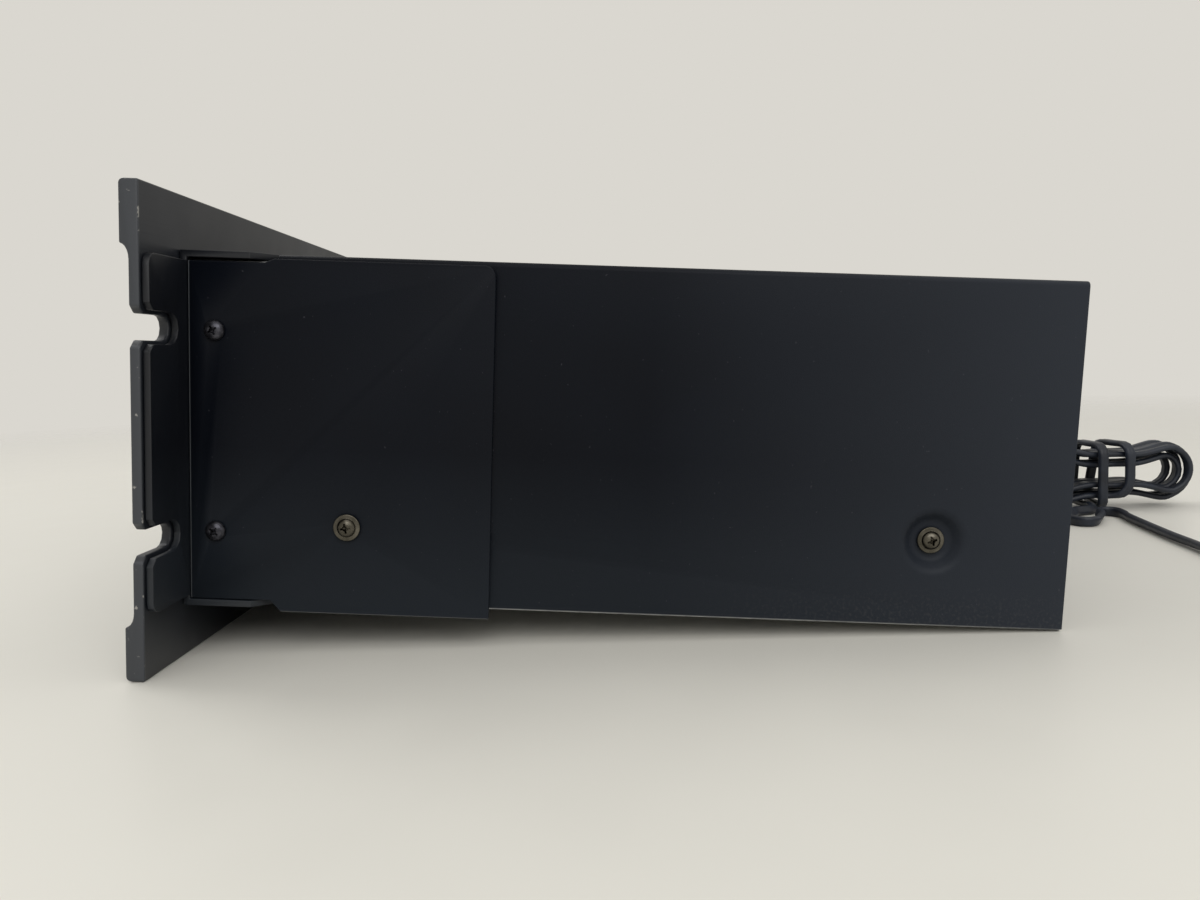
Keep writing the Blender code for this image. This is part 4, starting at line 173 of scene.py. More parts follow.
def anodised_aluminium():
    """Black anodised extrusion: even, with faint die lines along it, a painted sheen on its lips' ends, and
    bare chips there.
    """
    f = Finish("anodised_aluminium", "#1b1e24", 0.38, specular=0.5)
    f.paint(f.noise(30 * MM), "#1f2228").rub(f.noise(14 * MM), 0.43)
    f.relief(f.noise(0.5 * MM, 2, (0.02, 1, 1)), 0.006 * MM)
    ends = f.spread(f.size_of(f.along(0)), 240.4 * MM, 240.9 * MM)
    # The lips' end faces are painted a lighter grey: a painted sheen where they catch the light.
    f.paint(ends, "#35383d")
    chips = f.noise(2.6 * MM, 5, low=0.66, high=0.7)
    return f.paint(f.times(ends, chips), "#8f8d88").done()


def satin_paint(name, low_edge, front_edge=-1.0, specular=0.11):
    """Baked satin paint on steel: near black and a little blue, with rubbed patches and a fine grain.

    Dust lies low down and to the rear. A painted reflection of the pale table, with a little dust in it,
    lightens the paint towards the bottom, a painted reflection of the room lightens it towards the rear, a
    painted highlight runs along a front edge, and a lower cut edge can be bare.
    """
    f = Finish(name, "#080b12", 0.48, specular=specular)
    f.paint(f.noise(50 * MM, 2), "#0a0e16").rub(f.noise(24 * MM, 4), 0.41)
    # Lighter towards the bottom: a painted reflection of the pale table, with a little dust in it.
    low_sheen_and_dust = f.spread(f.along(2), 62 * MM, 16 * MM, 0, 0.75)
    f.paint(low_sheen_and_dust, "#23282e")
    # Lighter towards the rear: a painted reflection of the brighter room there.
    f.paint(f.spread(f.along(1), 10 * MM, 132 * MM, 0, 0.9), "#2d3138")
    low = f.spread(f.along(2), 30 * MM, 17 * MM)
    rear = f.spread(f.along(1), 20 * MM, 75 * MM)
    dust = f.times(f.times(low, rear), f.noise(0.9 * MM, 6, low=0.5, high=0.75))
    f.paint(f.times(dust, 0.16), "#6c6a66")
    specks = f.noise(1.1 * MM, 2, low=0.745, high=0.765)
    f.paint(f.times(specks, 0.35), "#4c4c52")
    f.paint(f.spread(f.along(2), low_edge + 0.3 * MM, low_edge + 0.1 * MM), "#77787a")
    # A thin lighter strip along the front edge: a painted highlight where the edge catches the light.
    f.paint(f.spread(f.along(1), front_edge + 0.45 * MM, front_edge + 0.2 * MM), "#5d6064")
    return f.relief(f.noise(0.35 * MM, 3), 0.01 * MM).done()


def plated_steel(name, code, worn, roughness=0.34):
    """Zinc or nickel plating: metal, a little cloudy, with fine marks."""
    f = Finish(name, code, roughness, metallic=1.0)
    f.paint(f.noise(3 * MM, 4), worn).rub(f.noise(1.5 * MM, 3), roughness + 0.12)
    return f.relief(f.noise(0.3 * MM, 2), 0.006 * MM).done()


def black_oxide():
    """Blackened steel: dark metal that still shines at the rims of its head."""
    f = Finish("black_oxide", "#34343a", 0.26, metallic=0.9)
    f.paint(f.noise(1.2 * MM, 4), "#4a4a50").rub(f.noise(0.8 * MM), 0.4)
    return f.relief(f.noise(0.25 * MM, 2), 0.006 * MM).done()


def moulded_plastic(name, code, second, roughness=0.48, grain=0.4 * MM, depth=0.012 * MM, **sockets):
    """Moulded plastic with a spark-eroded grain: matt, even, and softer where fingers have been."""
    f = Finish(name, code, roughness, **sockets)
    f.paint(f.noise(12 * MM), second).rub(f.noise(7 * MM), roughness - 0.08)
    return f.relief(f.noise(grain, 3), depth).done()


def smoked_acrylic():
    """Smoked acrylic: almost black and glossy, with the faintest hairlines."""
    f = Finish("smoked_acrylic", "#07090b", 0.07)
    f.rub(f.noise(0.5 * MM, 2, (0.05, 1, 1), 0.6, 0.68), 0.16)
    return f.relief(f.noise(30 * MM, 1), 0.02 * MM).done()


def solder_resist():
    """Green solder resist over copper tracks: the tracks show as a lighter green."""
    f = Finish("solder_resist", "#0f4a26", 0.35)
    tracks = f.noise(3 * MM, 0, (1, 0.12, 1), 0.5, 0.52)
    return f.paint(tracks, "#1b6a38").relief(tracks, 0.03 * MM).done()


def cord_vinyl():
    """Flexible vinyl: black with a slight bloom, satin, faintly wavy from extrusion."""
    f = Finish("cord_vinyl", "#181c25", 0.4, specular=0.4)
    f.paint(f.noise(9 * MM, 4), "#222833").rub(f.noise(4 * MM), 0.5)
    return f.relief(f.noise(1.2 * MM, 2), 0.03 * MM).done()


def laminations():
    """A varnished stack of steel laminations: thin brown-grey layers."""
    f = Finish("laminations", "#4a4037", 0.45, metallic=0.6)
    layers = f.noise(0.6 * MM, 0, (0.01, 1, 0.01), 0.45, 0.55)
    return f.paint(layers, "#2e2823").relief(layers, 0.05 * MM).done()


PANEL = anodised_aluminium()
COVER_PAINT = satin_paint("satin_paint_cover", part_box("top_cover")[0].z)
PRESSED_PAINT = satin_paint("satin_paint_pressed", -1, specular=0.6)
PLATE_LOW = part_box("side_plate_right")[0]
PLATE_PAINT = satin_paint("satin_paint_plate", PLATE_LOW.z, PLATE_LOW.y)
CHANNEL_PAINT = satin_paint("satin_paint_channel", -1, specular=0.42)
ZINC = plated_steel("zinc_plate", "#b4b6b6", "#9a9c9e", 0.38)
NICKEL = plated_steel("nickel_plate", "#67635a", "#48453d", 0.24)
SOCKET_NICKEL = plated_steel("socket_nickel", "#c9c7c0", "#aaa79e", 0.22)
BLACK_SCREW = black_oxide()
BLACK_PLASTIC = moulded_plastic("black_abs", "#17181a", "#1d1e20")
KEY_PLASTIC = moulded_plastic("key_abs", "#3a3b3f", "#404146", 0.42, 0.25 * MM, 0.006 * MM)
FRAME_PLASTIC = moulded_plastic("frame_abs", "#45464a", "#3c3d41", 0.55)
KNOB_PLASTIC = moulded_plastic("knob_abs", "#2a2b2e", "#303135", 0.4, 0.25 * MM, 0.006 * MM)
ACETAL = moulded_plastic("white_acetal", "#dedbd2", "#d2cfc5", 0.4, 0.8 * MM, 0.005 * MM)
INK = moulded_plastic("screen_ink", "#b9bcc0", "#aeb1b6", 0.6, 0.3 * MM, 0.002 * MM)
RED_PLASTIC = moulded_plastic("red_insulator", "#a32020", "#961b1b", 0.4)
WHITE_PLASTIC = moulded_plastic("white_insulator", "#dcdad4", "#d2d0c9", 0.4)
ORANGE_PLASTIC = moulded_plastic("orange_insulator", "#b3591a", "#a55117", 0.4)
RUBBER = moulded_plastic("rubber", "#141416", "#19191b", 0.62, 0.5 * MM)
WINDOW = smoked_acrylic()
BOARD = solder_resist()
CORD_PVC = cord_vinyl()
CORE = laminations()

SLOT_FINISHES = {
    "anodised_panel": PANEL,
    "black_paint": CHANNEL_PAINT,
    "zinc": ZINC,
    "core_steel": CORE,
    "black_screw": BLACK_SCREW,
    "bright_screw": NICKEL,
    "smoked_window": WINDOW,
    "circuit_board": BOARD,
    "black_plastic": BLACK_PLASTIC,
    "grey_plastic": KNOB_PLASTIC,
    "white_acetal": ACETAL,
    "rubber": RUBBER,
    "cord_pvc": CORD_PVC,
}


def dress(piece, finish):
    piece.data.materials.clear()
    piece.data.materials.append(finish)


for node, solid in frame["nodes"].items():
    dress(solid, SLOT_FINISHES[SLOT_OF[node]])
dress(frame["nodes"]["loader_frame"], FRAME_PLASTIC)


# Piece building

def stand_for(piece, node):
    """Put a finer piece in a solid's place."""
    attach(piece, BODY_OF[node])
    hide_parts(node)


def finished(name, form, finish, smooth=True):
    """An object from a bmesh whose place is in its mesh."""
    mesh = bpy.data.meshes.new(name)
    form.to_mesh(mesh)
    form.free()
    mesh.polygons.foreach_set("use_smooth", [smooth] * len(mesh.polygons))
    piece = bpy.data.objects.new(name, mesh)
    bpy.context.scene.collection.objects.link(piece)
    dress(piece, finish)
    return piece


def eased(piece, width, segments=2, angle=30):
    """Round the corners of a piece, as moulding, folding or deburring does."""
    bevel = piece.modifiers.new("eased", "BEVEL")
    bevel.width = width
    bevel.segments = segments
    bevel.limit_method = "ANGLE"
    bevel.angle_limit = math.radians(angle)
    bevel.use_clamp_overlap = False
    bevel.harden_normals = True
    return piece


def merged(node):
    """A bmesh of a solid with its loose triangles joined into whole faces."""
    form = bmesh.new()
    form.from_mesh(frame["nodes"][node].data)
    bmesh.ops.remove_doubles(form, verts=form.verts, dist=0.002 * MM)
    bmesh.ops.dissolve_limit(form, angle_limit=math.radians(0.5), verts=form.verts, edges=form.edges)
    return form


def refine(node, finish, width, segments=2):
    """The solid again with eased corners, in its own finish."""
    piece = eased(finished(f"{node}_finish", merged(node), finish), width, segments)
    stand_for(piece, node)
    return piece


FULL_TURN = {"cent": (0, 0, 0), "axis": (0, 0, 1), "angle": 2 * math.pi, "use_merge": True}


def lathe(profile, steps):
    """A closed round form about Z, from a profile of (radius, height) that starts and ends on the axis."""
    form = bmesh.new()
    points = [form.verts.new((radius, 0, height)) for radius, height in profile]
    edges = [form.edges.new(pair) for pair in zip(points, points[1:])]
    bmesh.ops.spin(form, geom=points + edges, steps=steps, **FULL_TURN)
    bmesh.ops.remove_doubles(form, verts=form.verts, dist=0.001 * MM)
    bmesh.ops.recalc_face_normals(form, faces=form.faces)
    return form


def hollow_lathe(profile, steps):
    """A round form about Z with a hole in it, from a closed profile of (radius, height)."""
    form = bmesh.new()
    loop = [form.verts.new((radius, 0, height)) for radius, height in profile]
    edges = [form.edges.new(pair) for pair in zip(loop, loop[1:] + loop[:1])]
    bmesh.ops.spin(form, geom=loop + edges, steps=steps, **FULL_TURN)
    bmesh.ops.recalc_face_normals(form, faces=form.faces)
    return form


def rounded(profile, reach, steps=4):
    """A profile whose inner corners are turned into short curves."""
    found = [profile[0]]
    for before, corner, after in zip(profile, profile[1:], profile[2:]):
        before, corner, after = Vector(before), Vector(corner), Vector(after)
        cut = min(reach, (before - corner).length / 2.2, (after - corner).length / 2.2)
        start = corner + (before - corner).normalized() * cut
        end = corner + (after - corner).normalized() * cut
        for i in range(steps + 1):
            t = i / steps
            found.append(tuple(start.lerp(corner, t).lerp(corner.lerp(end, t), t)))
    return found + [profile[-1]]


ROUND_EDGES = {"affect": "EDGES", "profile": 0.5, "material": -1}


def box_form(low, high, corner=0.0, segments=3):
    """A box between two corners, with its edges rounded."""
    low, high = Vector(low), Vector(high)
    form = bmesh.new()
    bmesh.ops.create_cube(form, size=1)
    bmesh.ops.scale(form, vec=high - low, verts=form.verts)
    bmesh.ops.translate(form, vec=(low + high) / 2, verts=form.verts)
    if corner:
        bmesh.ops.bevel(form, geom=list(form.edges), offset=corner, segments=segments, **ROUND_EDGES)
    return form


def plate_form(outline, thickness):
    """A flat shape in X and Z from its outline, with a thickness behind it along Y."""
    form = bmesh.new()
    face = form.faces.new([form.verts.new((x, 0, z)) for x, z in outline])
    grown = bmesh.ops.extrude_face_region(form, geom=[face])["geom"]
    corners = [item for item in grown if isinstance(item, bmesh.types.BMVert)]
    bmesh.ops.translate(form, vec=(0, thickness, 0), verts=corners)
    bmesh.ops.recalc_face_normals(form, faces=form.faces)
    return form


def gather(forms):
    """Several bmeshes as one."""
    whole = bmesh.new()
    for form in forms:
        mesh = bpy.data.meshes.new("part")
        form.to_mesh(mesh)
        form.free()
        whole.from_mesh(mesh)
        bpy.data.meshes.remove(mesh)
    return whole


def moved(form, place, turn=None):
    matrix = Matrix.Translation(Vector(place)) @ (turn or Matrix.Identity(4))
    bmesh.ops.transform(form, matrix=matrix, verts=form.verts)
    return form


def carve(piece, tool):
    """Cut a tool's shape out of a piece, and throw the tool away."""
    cut = piece.modifiers.new("carve", "BOOLEAN")
    cut.operation = "DIFFERENCE"
    cut.solver = "EXACT"
    cut.use_self = True
    cut.object = tool
    mesh = bpy.data.meshes.new_from_object(piece.evaluated_get(bpy.context.evaluated_depsgraph_get()))
    piece.modifiers.clear()
    old = piece.data
    piece.data = mesh
    bpy.data.meshes.remove(old)
    bpy.data.objects.remove(tool)


def facing(side):
    """The turn that points Z outwards from the right or the left side."""
    return Matrix.Rotation(side * math.pi / 2, 4, "Y")


TO_FRONT = Matrix.Rotation(math.pi / 2, 4, "X")
TO_BACK = Matrix.Rotation(-math.pi / 2, 4, "X")


# Sheet metal and front panel

CASE_HALF_WIDTH = 217 * MM
# The edges of the dimple's rim and of its floor, as (least radius, greatest, greatest depth, least, rounding)
DIMPLE_EDGES = (
    (8 * MM, 9.3 * MM, 0.3 * MM, -0.3 * MM, 1.5 * MM),
    (5.3 * MM, 6.3 * MM, 3.8 * MM, 3.2 * MM, 1.1 * MM),
)
PRESSED_RADIUS = 9.6 * MM


def dimple_edges(form, side, middle, near, far, deep, shallow):
    """The edges of a round step in a side of the cover, about the screw's middle."""
    found = []
    for edge in form.edges:
        spots = [corner.co for corner in edge.verts]
        away = [math.hypot(spot.y - middle.y, spot.z - middle.z) for spot in spots]
        depth = [CASE_HALF_WIDTH - side * spot.x for spot in spots]
        if all(near < a < far for a in away) and all(deep > d > shallow for d in depth):
            found.append(edge)
    return found


def make_cover():
    """The cover, with the rim and the floor of its two pressed dimples rounded as pressing leaves them."""
    form = merged("top_cover")
    for side, hand in ((1, "right"), (-1, "left")):
        low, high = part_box(f"cover_screw_{hand}")
        middle = (low + high) / 2
        for near, far, deep, shallow, width in DIMPLE_EDGES:
            rim = dimple_edges(form, side, middle, near, far, deep, shallow)
            bmesh.ops.bevel(form, geom=rim, offset=width, segments=5, **ROUND_EDGES)
    low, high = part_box("cover_screw_right")
    middle = (low + high) / 2
    for face in form.faces:
        centre = face.calc_center_median()
        away = math.hypot(centre.y - middle.y, centre.z - middle.z)
        if away < PRESSED_RADIUS and 0.2 < abs(face.normal.x) < 0.97:
            face.material_index = 1
    cover = eased(finished("top_cover_finish", form, COVER_PAINT), 0.3 * MM)
    cover.data.materials.append(PRESSED_PAINT)
    stand_for(cover, "top_cover")


def make_metalwork():
    refine("front_panel", PANEL, 0.45 * MM, 3)
    refine("sub_panel", CHANNEL_PAINT, 0.2 * MM)
    for hand in ("right", "left"):
        refine(f"side_plate_{hand}", PLATE_PAINT, 0.35 * MM, 3)
    make_cover()
    refine("rear_panel", CHANNEL_PAINT, 0.15 * MM)
    refine("chassis_pan", ZINC, 0.2 * MM)


# Screws: a domed head with a cross recess, as (radius, height) in millimetres

PAN_HEAD = ((0, 2.1), (1.3, 1.98), (2.3, 1.55), (2.85, 0.9), (3.0, 0.3), (1.4, 0.3), (1.4, -6.2), (0, -6.2))
FLANGED_HEAD = (
    (0, 2.6), (1.2, 2.5), (2.1, 2.15), (2.6, 1.6), (2.7, 1.15), (3.75, 1.1), (3.9, 0.9), (3.9, 0.3),
    (1.4, 0.3), (1.4, -6.2), (0, -6.2),
)


def cross_recess(radius, top, depth):
    """The tool that cuts a cross into a screw's head: two tapered bars and a cone."""
    bars = []
    for turn in (0, math.pi / 2):
        bar = box_form((-radius, -0.36 * MM, top - depth), (radius, 0.36 * MM, top + 1 * MM))
        for corner in bar.verts:
            if corner.co.z < top:
                corner.co.x *= 0.62
                corner.co.y *= 0.7
        bars.append(moved(bar, (0, 0, 0), Matrix.Rotation(turn, 4, "Z")))
    cone = bmesh.new()
    bmesh.ops.create_cone(
        cone, cap_ends=True, segments=16, radius1=0.2 * MM, radius2=0.95 * MM, depth=depth + 0.6 * MM,
    )
    bars.append(moved(cone, (0, 0, top - depth / 2 - 0.1 * MM)))
    return finished("recess_tool", gather(bars), BLACK_SCREW, False)


def screw(name, profile, finish, place, turn, spin):
    scaled = [(radius * MM, height * MM) for radius, height in profile]
    piece = finished(name, lathe(rounded(scaled, 0.25 * MM, 2), 40), finish)
    carve(piece, cross_recess(1.75 * MM, scaled[0][1], 1.5 * MM))
    piece.data.transform(Matrix.Translation(place) @ turn @ Matrix.Rotation(spin, 4, "Z"))
    piece.data.set_sharp_from_angle(angle=math.radians(38))
    return piece


# Each screw as (name, head, finish, turn of its cross in radians)
SCREW_KINDS = (
    ("bracket_screw_upper", PAN_HEAD, BLACK_SCREW, 0.5),
    ("bracket_screw_lower", PAN_HEAD, BLACK_SCREW, 0.9),
    ("bracket_screw_rear", FLANGED_HEAD, NICKEL, 0.2),
    ("cover_screw", FLANGED_HEAD, NICKEL, 0.35),
)


def make_screws():
    for side, hand in ((1, "right"), (-1, "left")):
        for kind, profile, finish, spin in SCREW_KINDS:
            node = f"{kind}_{hand}"
            low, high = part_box(node)
            seat = (high.x if side > 0 else low.x) - side * profile[0][1] * MM
            place = Vector((seat, (low.y + high.y) / 2, (low.z + high.z) / 2))
            stand_for(screw(f"{node}_head", profile, finish, place, facing(side), spin), node)


# Front: keys, dial, knobs, tray, display and their printed marks

FACE_Y = -2.75 * MM + PANEL_SHIFT.y
MARK = 0.06 * MM


def triangle(x, z, size, way):
    """An outline of an arrow head that points right (1) or left (-1)."""
    back, tip, half = x - way * size / 2, x + way * size / 2, size * 0.62
    return [(back, z - half), (tip, z), (back, z + half)]


def bar(x, z, width, height):
    w, h = width / 2, height / 2
    return [(x - w, z - h), (x + w, z - h), (x + w, z + h), (x - w, z + h)]


def ring_form(radius, width, thickness, start=0.0, sweep=360.0):
    """A flat ring, or part of one, in X and Z."""
    form = bmesh.new()
    angle = math.radians(start)
    ends = [
        form.verts.new((r * math.cos(angle), 0, r * math.sin(angle)))
        for r in (radius - width / 2, radius + width / 2)
    ]
    edge = form.edges.new(ends)
    bmesh.ops.spin(
        form, geom=ends + [edge], cent=(0, 0, 0), axis=(0, -1, 0), angle=math.radians(sweep), steps=40,
        use_merge=sweep >= 360,
    )
    grown = bmesh.ops.extrude_face_region(form, geom=list(form.faces))["geom"]
    corners = [item for item in grown if isinstance(item, bmesh.types.BMVert)]
    bmesh.ops.translate(form, vec=(0, thickness, 0), verts=corners)
    bmesh.ops.recalc_face_normals(form, faces=form.faces)
    return form


KEY_SIGNS = {
    "track_back_button": [bar(-2.3, 0, 0.6, 3.2), triangle(-0.7, 0, 2.6, -1), triangle(1.6, 0, 2.6, -1)],
    "track_forward_button": [triangle(-1.6, 0, 2.6, 1), triangle(0.7, 0, 2.6, 1), bar(2.3, 0, 0.6, 3.2)],
    "play_button": [triangle(0.2, 0, 3.4, 1)],
    "pause_button": [bar(-0.9, 0, 0.9, 3.4), bar(0.9, 0, 0.9, 3.4)],
    "stop_button": [bar(0, 0, 3.2, 3.2)],
    "open_button": [[(-2, -0.2), (2, -0.2), (0, 2.1)], bar(0, -1.3, 4, 0.8)],
}


def printed(outlines):
    """Flat printed shapes from outlines in millimetres."""
    return [plate_form([(x * MM, z * MM) for x, z in outline], MARK) for outline in outlines]


def key_sign(node, outlines):
    """The printed sign on a key's face, which moves with the key."""
    low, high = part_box(node)
    sign = finished(f"{node}_sign", gather(printed(outlines)), INK, False)
    place = Vector(((low.x + high.x) / 2, low.y - MARK * 0.6, (low.z + high.z) / 2))
    sign.data.transform(Matrix.Translation(place))
    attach(sign, BODY_OF[node])


def make_keys():
    for node, outlines in KEY_SIGNS.items():
        refine(node, KEY_PLASTIC, 0.55 * MM, 3)
        key_sign(node, outlines)
    refine("power_button", KEY_PLASTIC, 0.55 * MM, 3)
    low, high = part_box("power_button")
    forms = [ring_form(1.5 * MM, 0.45 * MM, MARK, 120, 300)] + printed([bar(0, 1.3, 0.45, 2)])
    sign = finished("power_button_sign", gather(forms), INK, False)
    place = Vector(((low.x + high.x) / 2, low.y - MARK * 0.6, (low.z + high.z) / 2))
    sign.data.transform(Matrix.Translation(place))
    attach(sign, "power_button")


DIAL_AXIS = Vector((172 * MM, 0, 66.25 * MM))


def ridged(form, count, depth, inner, low, high):
    """Press ridges into the side of a round form about Z, between two heights."""
    for corner in form.verts:
        radius = math.hypot(corner.co.x, corner.co.y)
        if radius > inner and low < corner.co.z < high:
            angle = math.atan2(corner.co.y, corner.co.x)
            share = 1 - depth / radius * (1 - math.cos(angle * count)) / 2
            corner.co.x *= share
            corner.co.y *= share


def make_dial():
    """The jog dial, with a dished finger rest and a knurled side."""
    low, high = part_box("jog_dial")
    length = high.y - low.y
    radius, tip = 23.6 * MM, 13.1 * MM
    profile = [(0, -0.35 * MM), (radius - 5 * MM, 0), (radius - 1.2 * MM, 0), (radius, -1.2 * MM)]
    profile += [(radius, depth * MM) for depth in (-2, -4, -6.2, -7)]
    profile += [(radius, -tip), (3 * MM, -tip), (3 * MM, -length), (0, -length)]
    form = lathe(rounded(profile, 0.8 * MM, 3), 240)
    ridged(form, 60, 0.5 * MM, radius - 0.2 * MM, -6.6 * MM, -1.6 * MM)
    piece = finished("jog_dial_finish", form, KNOB_PLASTIC)
    dish = bmesh.new()
    bmesh.ops.create_uvsphere(dish, u_segments=48, v_segments=24, radius=9 * MM)
    carve(piece, finished("dish_tool", moved(dish, (13 * MM, 0, 6.6 * MM)), KNOB_PLASTIC))
    piece.data.transform(Matrix.Translation(DIAL_AXIS + Vector((0, low.y, 0))) @ TO_FRONT)
    piece.data.set_sharp_from_angle(angle=math.radians(40))
    stand_for(piece, "jog_dial")


def make_ring():
    """The ribbed shuttle ring round the jog dial, with its sleeve and its pointer."""
    low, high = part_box("shuttle_ring")
    outer, inner, length = 34 * MM, 24.4 * MM, high.y - low.y
    front = [(inner, -7.5 * MM), (inner, -1.2 * MM), (inner + 1.2 * MM, 0), (outer - 1.6 * MM, 0)]
    front += [(outer, depth * MM) for depth in (-1.6, -2.4, -8.2, -9)]
    sleeve = [(5.2 * MM, -9 * MM), (5.2 * MM, -length), (3.45 * MM, -length), (3.45 * MM, -7.5 * MM)]
    form = hollow_lathe(rounded(front, 0.7 * MM, 3) + sleeve, 288)
    ridged(form, 72, 0.45 * MM, outer - 0.2 * MM, -8.4 * MM, -2.2 * MM)
    ring = finished("shuttle_ring_finish", form, BLACK_PLASTIC)
    ring.data.transform(Matrix.Translation(DIAL_AXIS + Vector((0, low.y, 0))) @ TO_FRONT)
    ring.data.set_sharp_from_angle(angle=math.radians(40))
    stand_for(ring, "shuttle_ring")
    line = box_form((-0.5 * MM, -MARK, 25.9 * MM), (0.5 * MM, MARK / 2, 32 * MM))
    pointer = finished("shuttle_pointer", moved(line, DIAL_AXIS + Vector((0, low.y, 0))), INK, False)
    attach(pointer, "shuttle_ring")


def make_knobs():
    low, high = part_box("level_knob")
    centre = (low + high) / 2
    length = high.y - low.y
    profile = [(0, 0), (5.6 * MM, 0), (6.6 * MM, -0.9 * MM), (6.7 * MM, -2 * MM), (6.95 * MM, -9.4 * MM)]
    profile += [(6.95 * MM, -11 * MM), (2.8 * MM, -11 * MM), (2.8 * MM, -length), (0, -length)]
    form = lathe(rounded(profile, 0.5 * MM, 3), 144)
    ridged(form, 36, 0.4 * MM, 6 * MM, -9.2 * MM, -1.6 * MM)
    knob = finished("level_knob_finish", form, KNOB_PLASTIC)
    knob.data.transform(Matrix.Translation((centre.x, low.y, centre.z)) @ TO_FRONT)
    knob.data.set_sharp_from_angle(angle=math.radians(40))
    stand_for(knob, "level_knob")
    line = box_form((-0.35 * MM, -MARK, 2 * MM), (0.35 * MM, MARK / 2, 5.5 * MM))
    pointer = finished("level_pointer", moved(line, (centre.x, low.y, centre.z)), INK, False)
    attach(pointer, "level_knob")
    refine("pitch_knob", KNOB_PLASTIC, 0.5 * MM, 3)
    low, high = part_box("pitch_knob")
    centre = (low + high) / 2
    line = box_form((-0.3 * MM, -MARK, -5 * MM), (0.3 * MM, MARK / 2, 5 * MM))
    pointer = finished("pitch_pointer", moved(line, (centre.x, low.y, centre.z)), INK, False)
    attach(pointer, "pitch_knob")


def make_scales():
    """Printed ticks round the shuttle ring and the level knob, and along the pitch slot."""
    forms = []

    def tick(centre, angle, near, far, width):
        line = bmesh.new()
        bmesh.ops.create_cube(line, size=1)
        bmesh.ops.scale(line, vec=(width, MARK, far - near), verts=line.verts)
        turn = Matrix.Rotation(math.radians(angle), 4, "Y") @ Matrix.Translation((0, 0, (near + far) / 2))
        forms.append(moved(line, centre, turn))

    dial = Vector((DIAL_AXIS.x, FACE_Y - MARK * 0.3, DIAL_AXIS.z))
    for step in range(-6, 7):
        long = step % 3 == 0
        tick(dial, step * 10, 35.6 * MM, (39 if long else 37.6) * MM, (0.5 if long else 0.3) * MM)
    low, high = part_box("level_knob")
    level = Vector(((low.x + high.x) / 2, FACE_Y - MARK * 0.3, (low.z + high.z) / 2))
    for step in range(-5, 6):
        tick(level, step * 28, 8.6 * MM, 10.2 * MM, 0.35 * MM)
    low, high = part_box("pitch_knob")
    middle = (low + high) / 2
    for step in range(-6, 7):
        long = step % 3 == 0
        place = Vector((middle.x + step * 5 * MM, FACE_Y - MARK * 0.3, middle.z))
        tick(place, 0, 7.4 * MM, (10 if long else 8.8) * MM, (0.45 if long else 0.3) * MM)
    scales = finished("printed_scales", gather(forms), INK, False)
    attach(scales, "housing")


def make_front():
    make_keys()
    make_dial()
    make_ring()
    make_knobs()
    make_scales()
    refine("tray_front", BLACK_PLASTIC, 0.6 * MM, 3)
    refine("disc_tray", BLACK_PLASTIC, 0.25 * MM)
    refine("display_window", WINDOW, 0.4 * MM, 3)


# Rear: sockets and plug

CASE_REAR = 255.1 * MM + PANEL_SHIFT.y
# Profiles as (radius, height behind the rear panel) in millimetres
SOCKET_BARREL = (
    (4.17, 0.2), (5.6, 0.2), (5.6, 1.0), (5.3, 1.4), (4.5, 1.5), (4.5, 8.6), (4.3, 9.1), (3.6, 9.2),
    (3.6, 9.02), (4.17, 9.02),
)
SOCKET_INSULATOR = ((1.75, 9.01), (3.5, 9.01), (3.5, 9.15), (3.3, 9.3), (1.75, 9.3))
SOCKETS = (("left", WHITE_PLASTIC, -74), ("right", RED_PLASTIC, -60), ("digital", ORANGE_PLASTIC, -46))


def socket_ring(name, profile, place, finish):
    form = hollow_lathe([(radius * MM, height * MM) for radius, height in profile], 48)
    ring = finished(name, moved(form, place, TO_BACK), finish)
    ring.data.set_sharp_from_angle(angle=math.radians(40))
    return ring


def make_sockets():
    """Three phono sockets: nickel barrels with coloured insulators on a black block."""
    refine("rca_sockets", BLACK_PLASTIC, 0.3 * MM)
    for code, finish, x in SOCKETS:
        place = Vector((x * MM, CASE_REAR, 56.6 * MM))
        barrel = socket_ring(f"socket_barrel_{code}", SOCKET_BARREL, place, SOCKET_NICKEL)
        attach(barrel, "housing")
        insulator = socket_ring(f"socket_insulator_{code}", SOCKET_INSULATOR, place, finish)
        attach(insulator, "housing")


def on_table(x, along, height):
    """The place of a point given across the table, up its slope and above it."""
    rise, run = math.sin(TABLE_ANGLE), math.cos(TABLE_ANGLE)
    return Vector((x, along * run - height * rise, along * rise + height * run)) + PANEL_SHIFT


PLUG_HEIGHT = 7.3 * MM
NOSE_PROFILE = ((0, 9 * MM), (5 * MM, 9 * MM), (4.6 * MM, 5 * MM), (3.2 * MM, 0), (0, 0))
RIB_PROFILE = ((0, 1.1 * MM), (4.4 * MM, 1.1 * MM), (4.4 * MM, 0), (0, 0))
ALONG_X = Matrix.Rotation(math.pi / 2, 4, "Y")


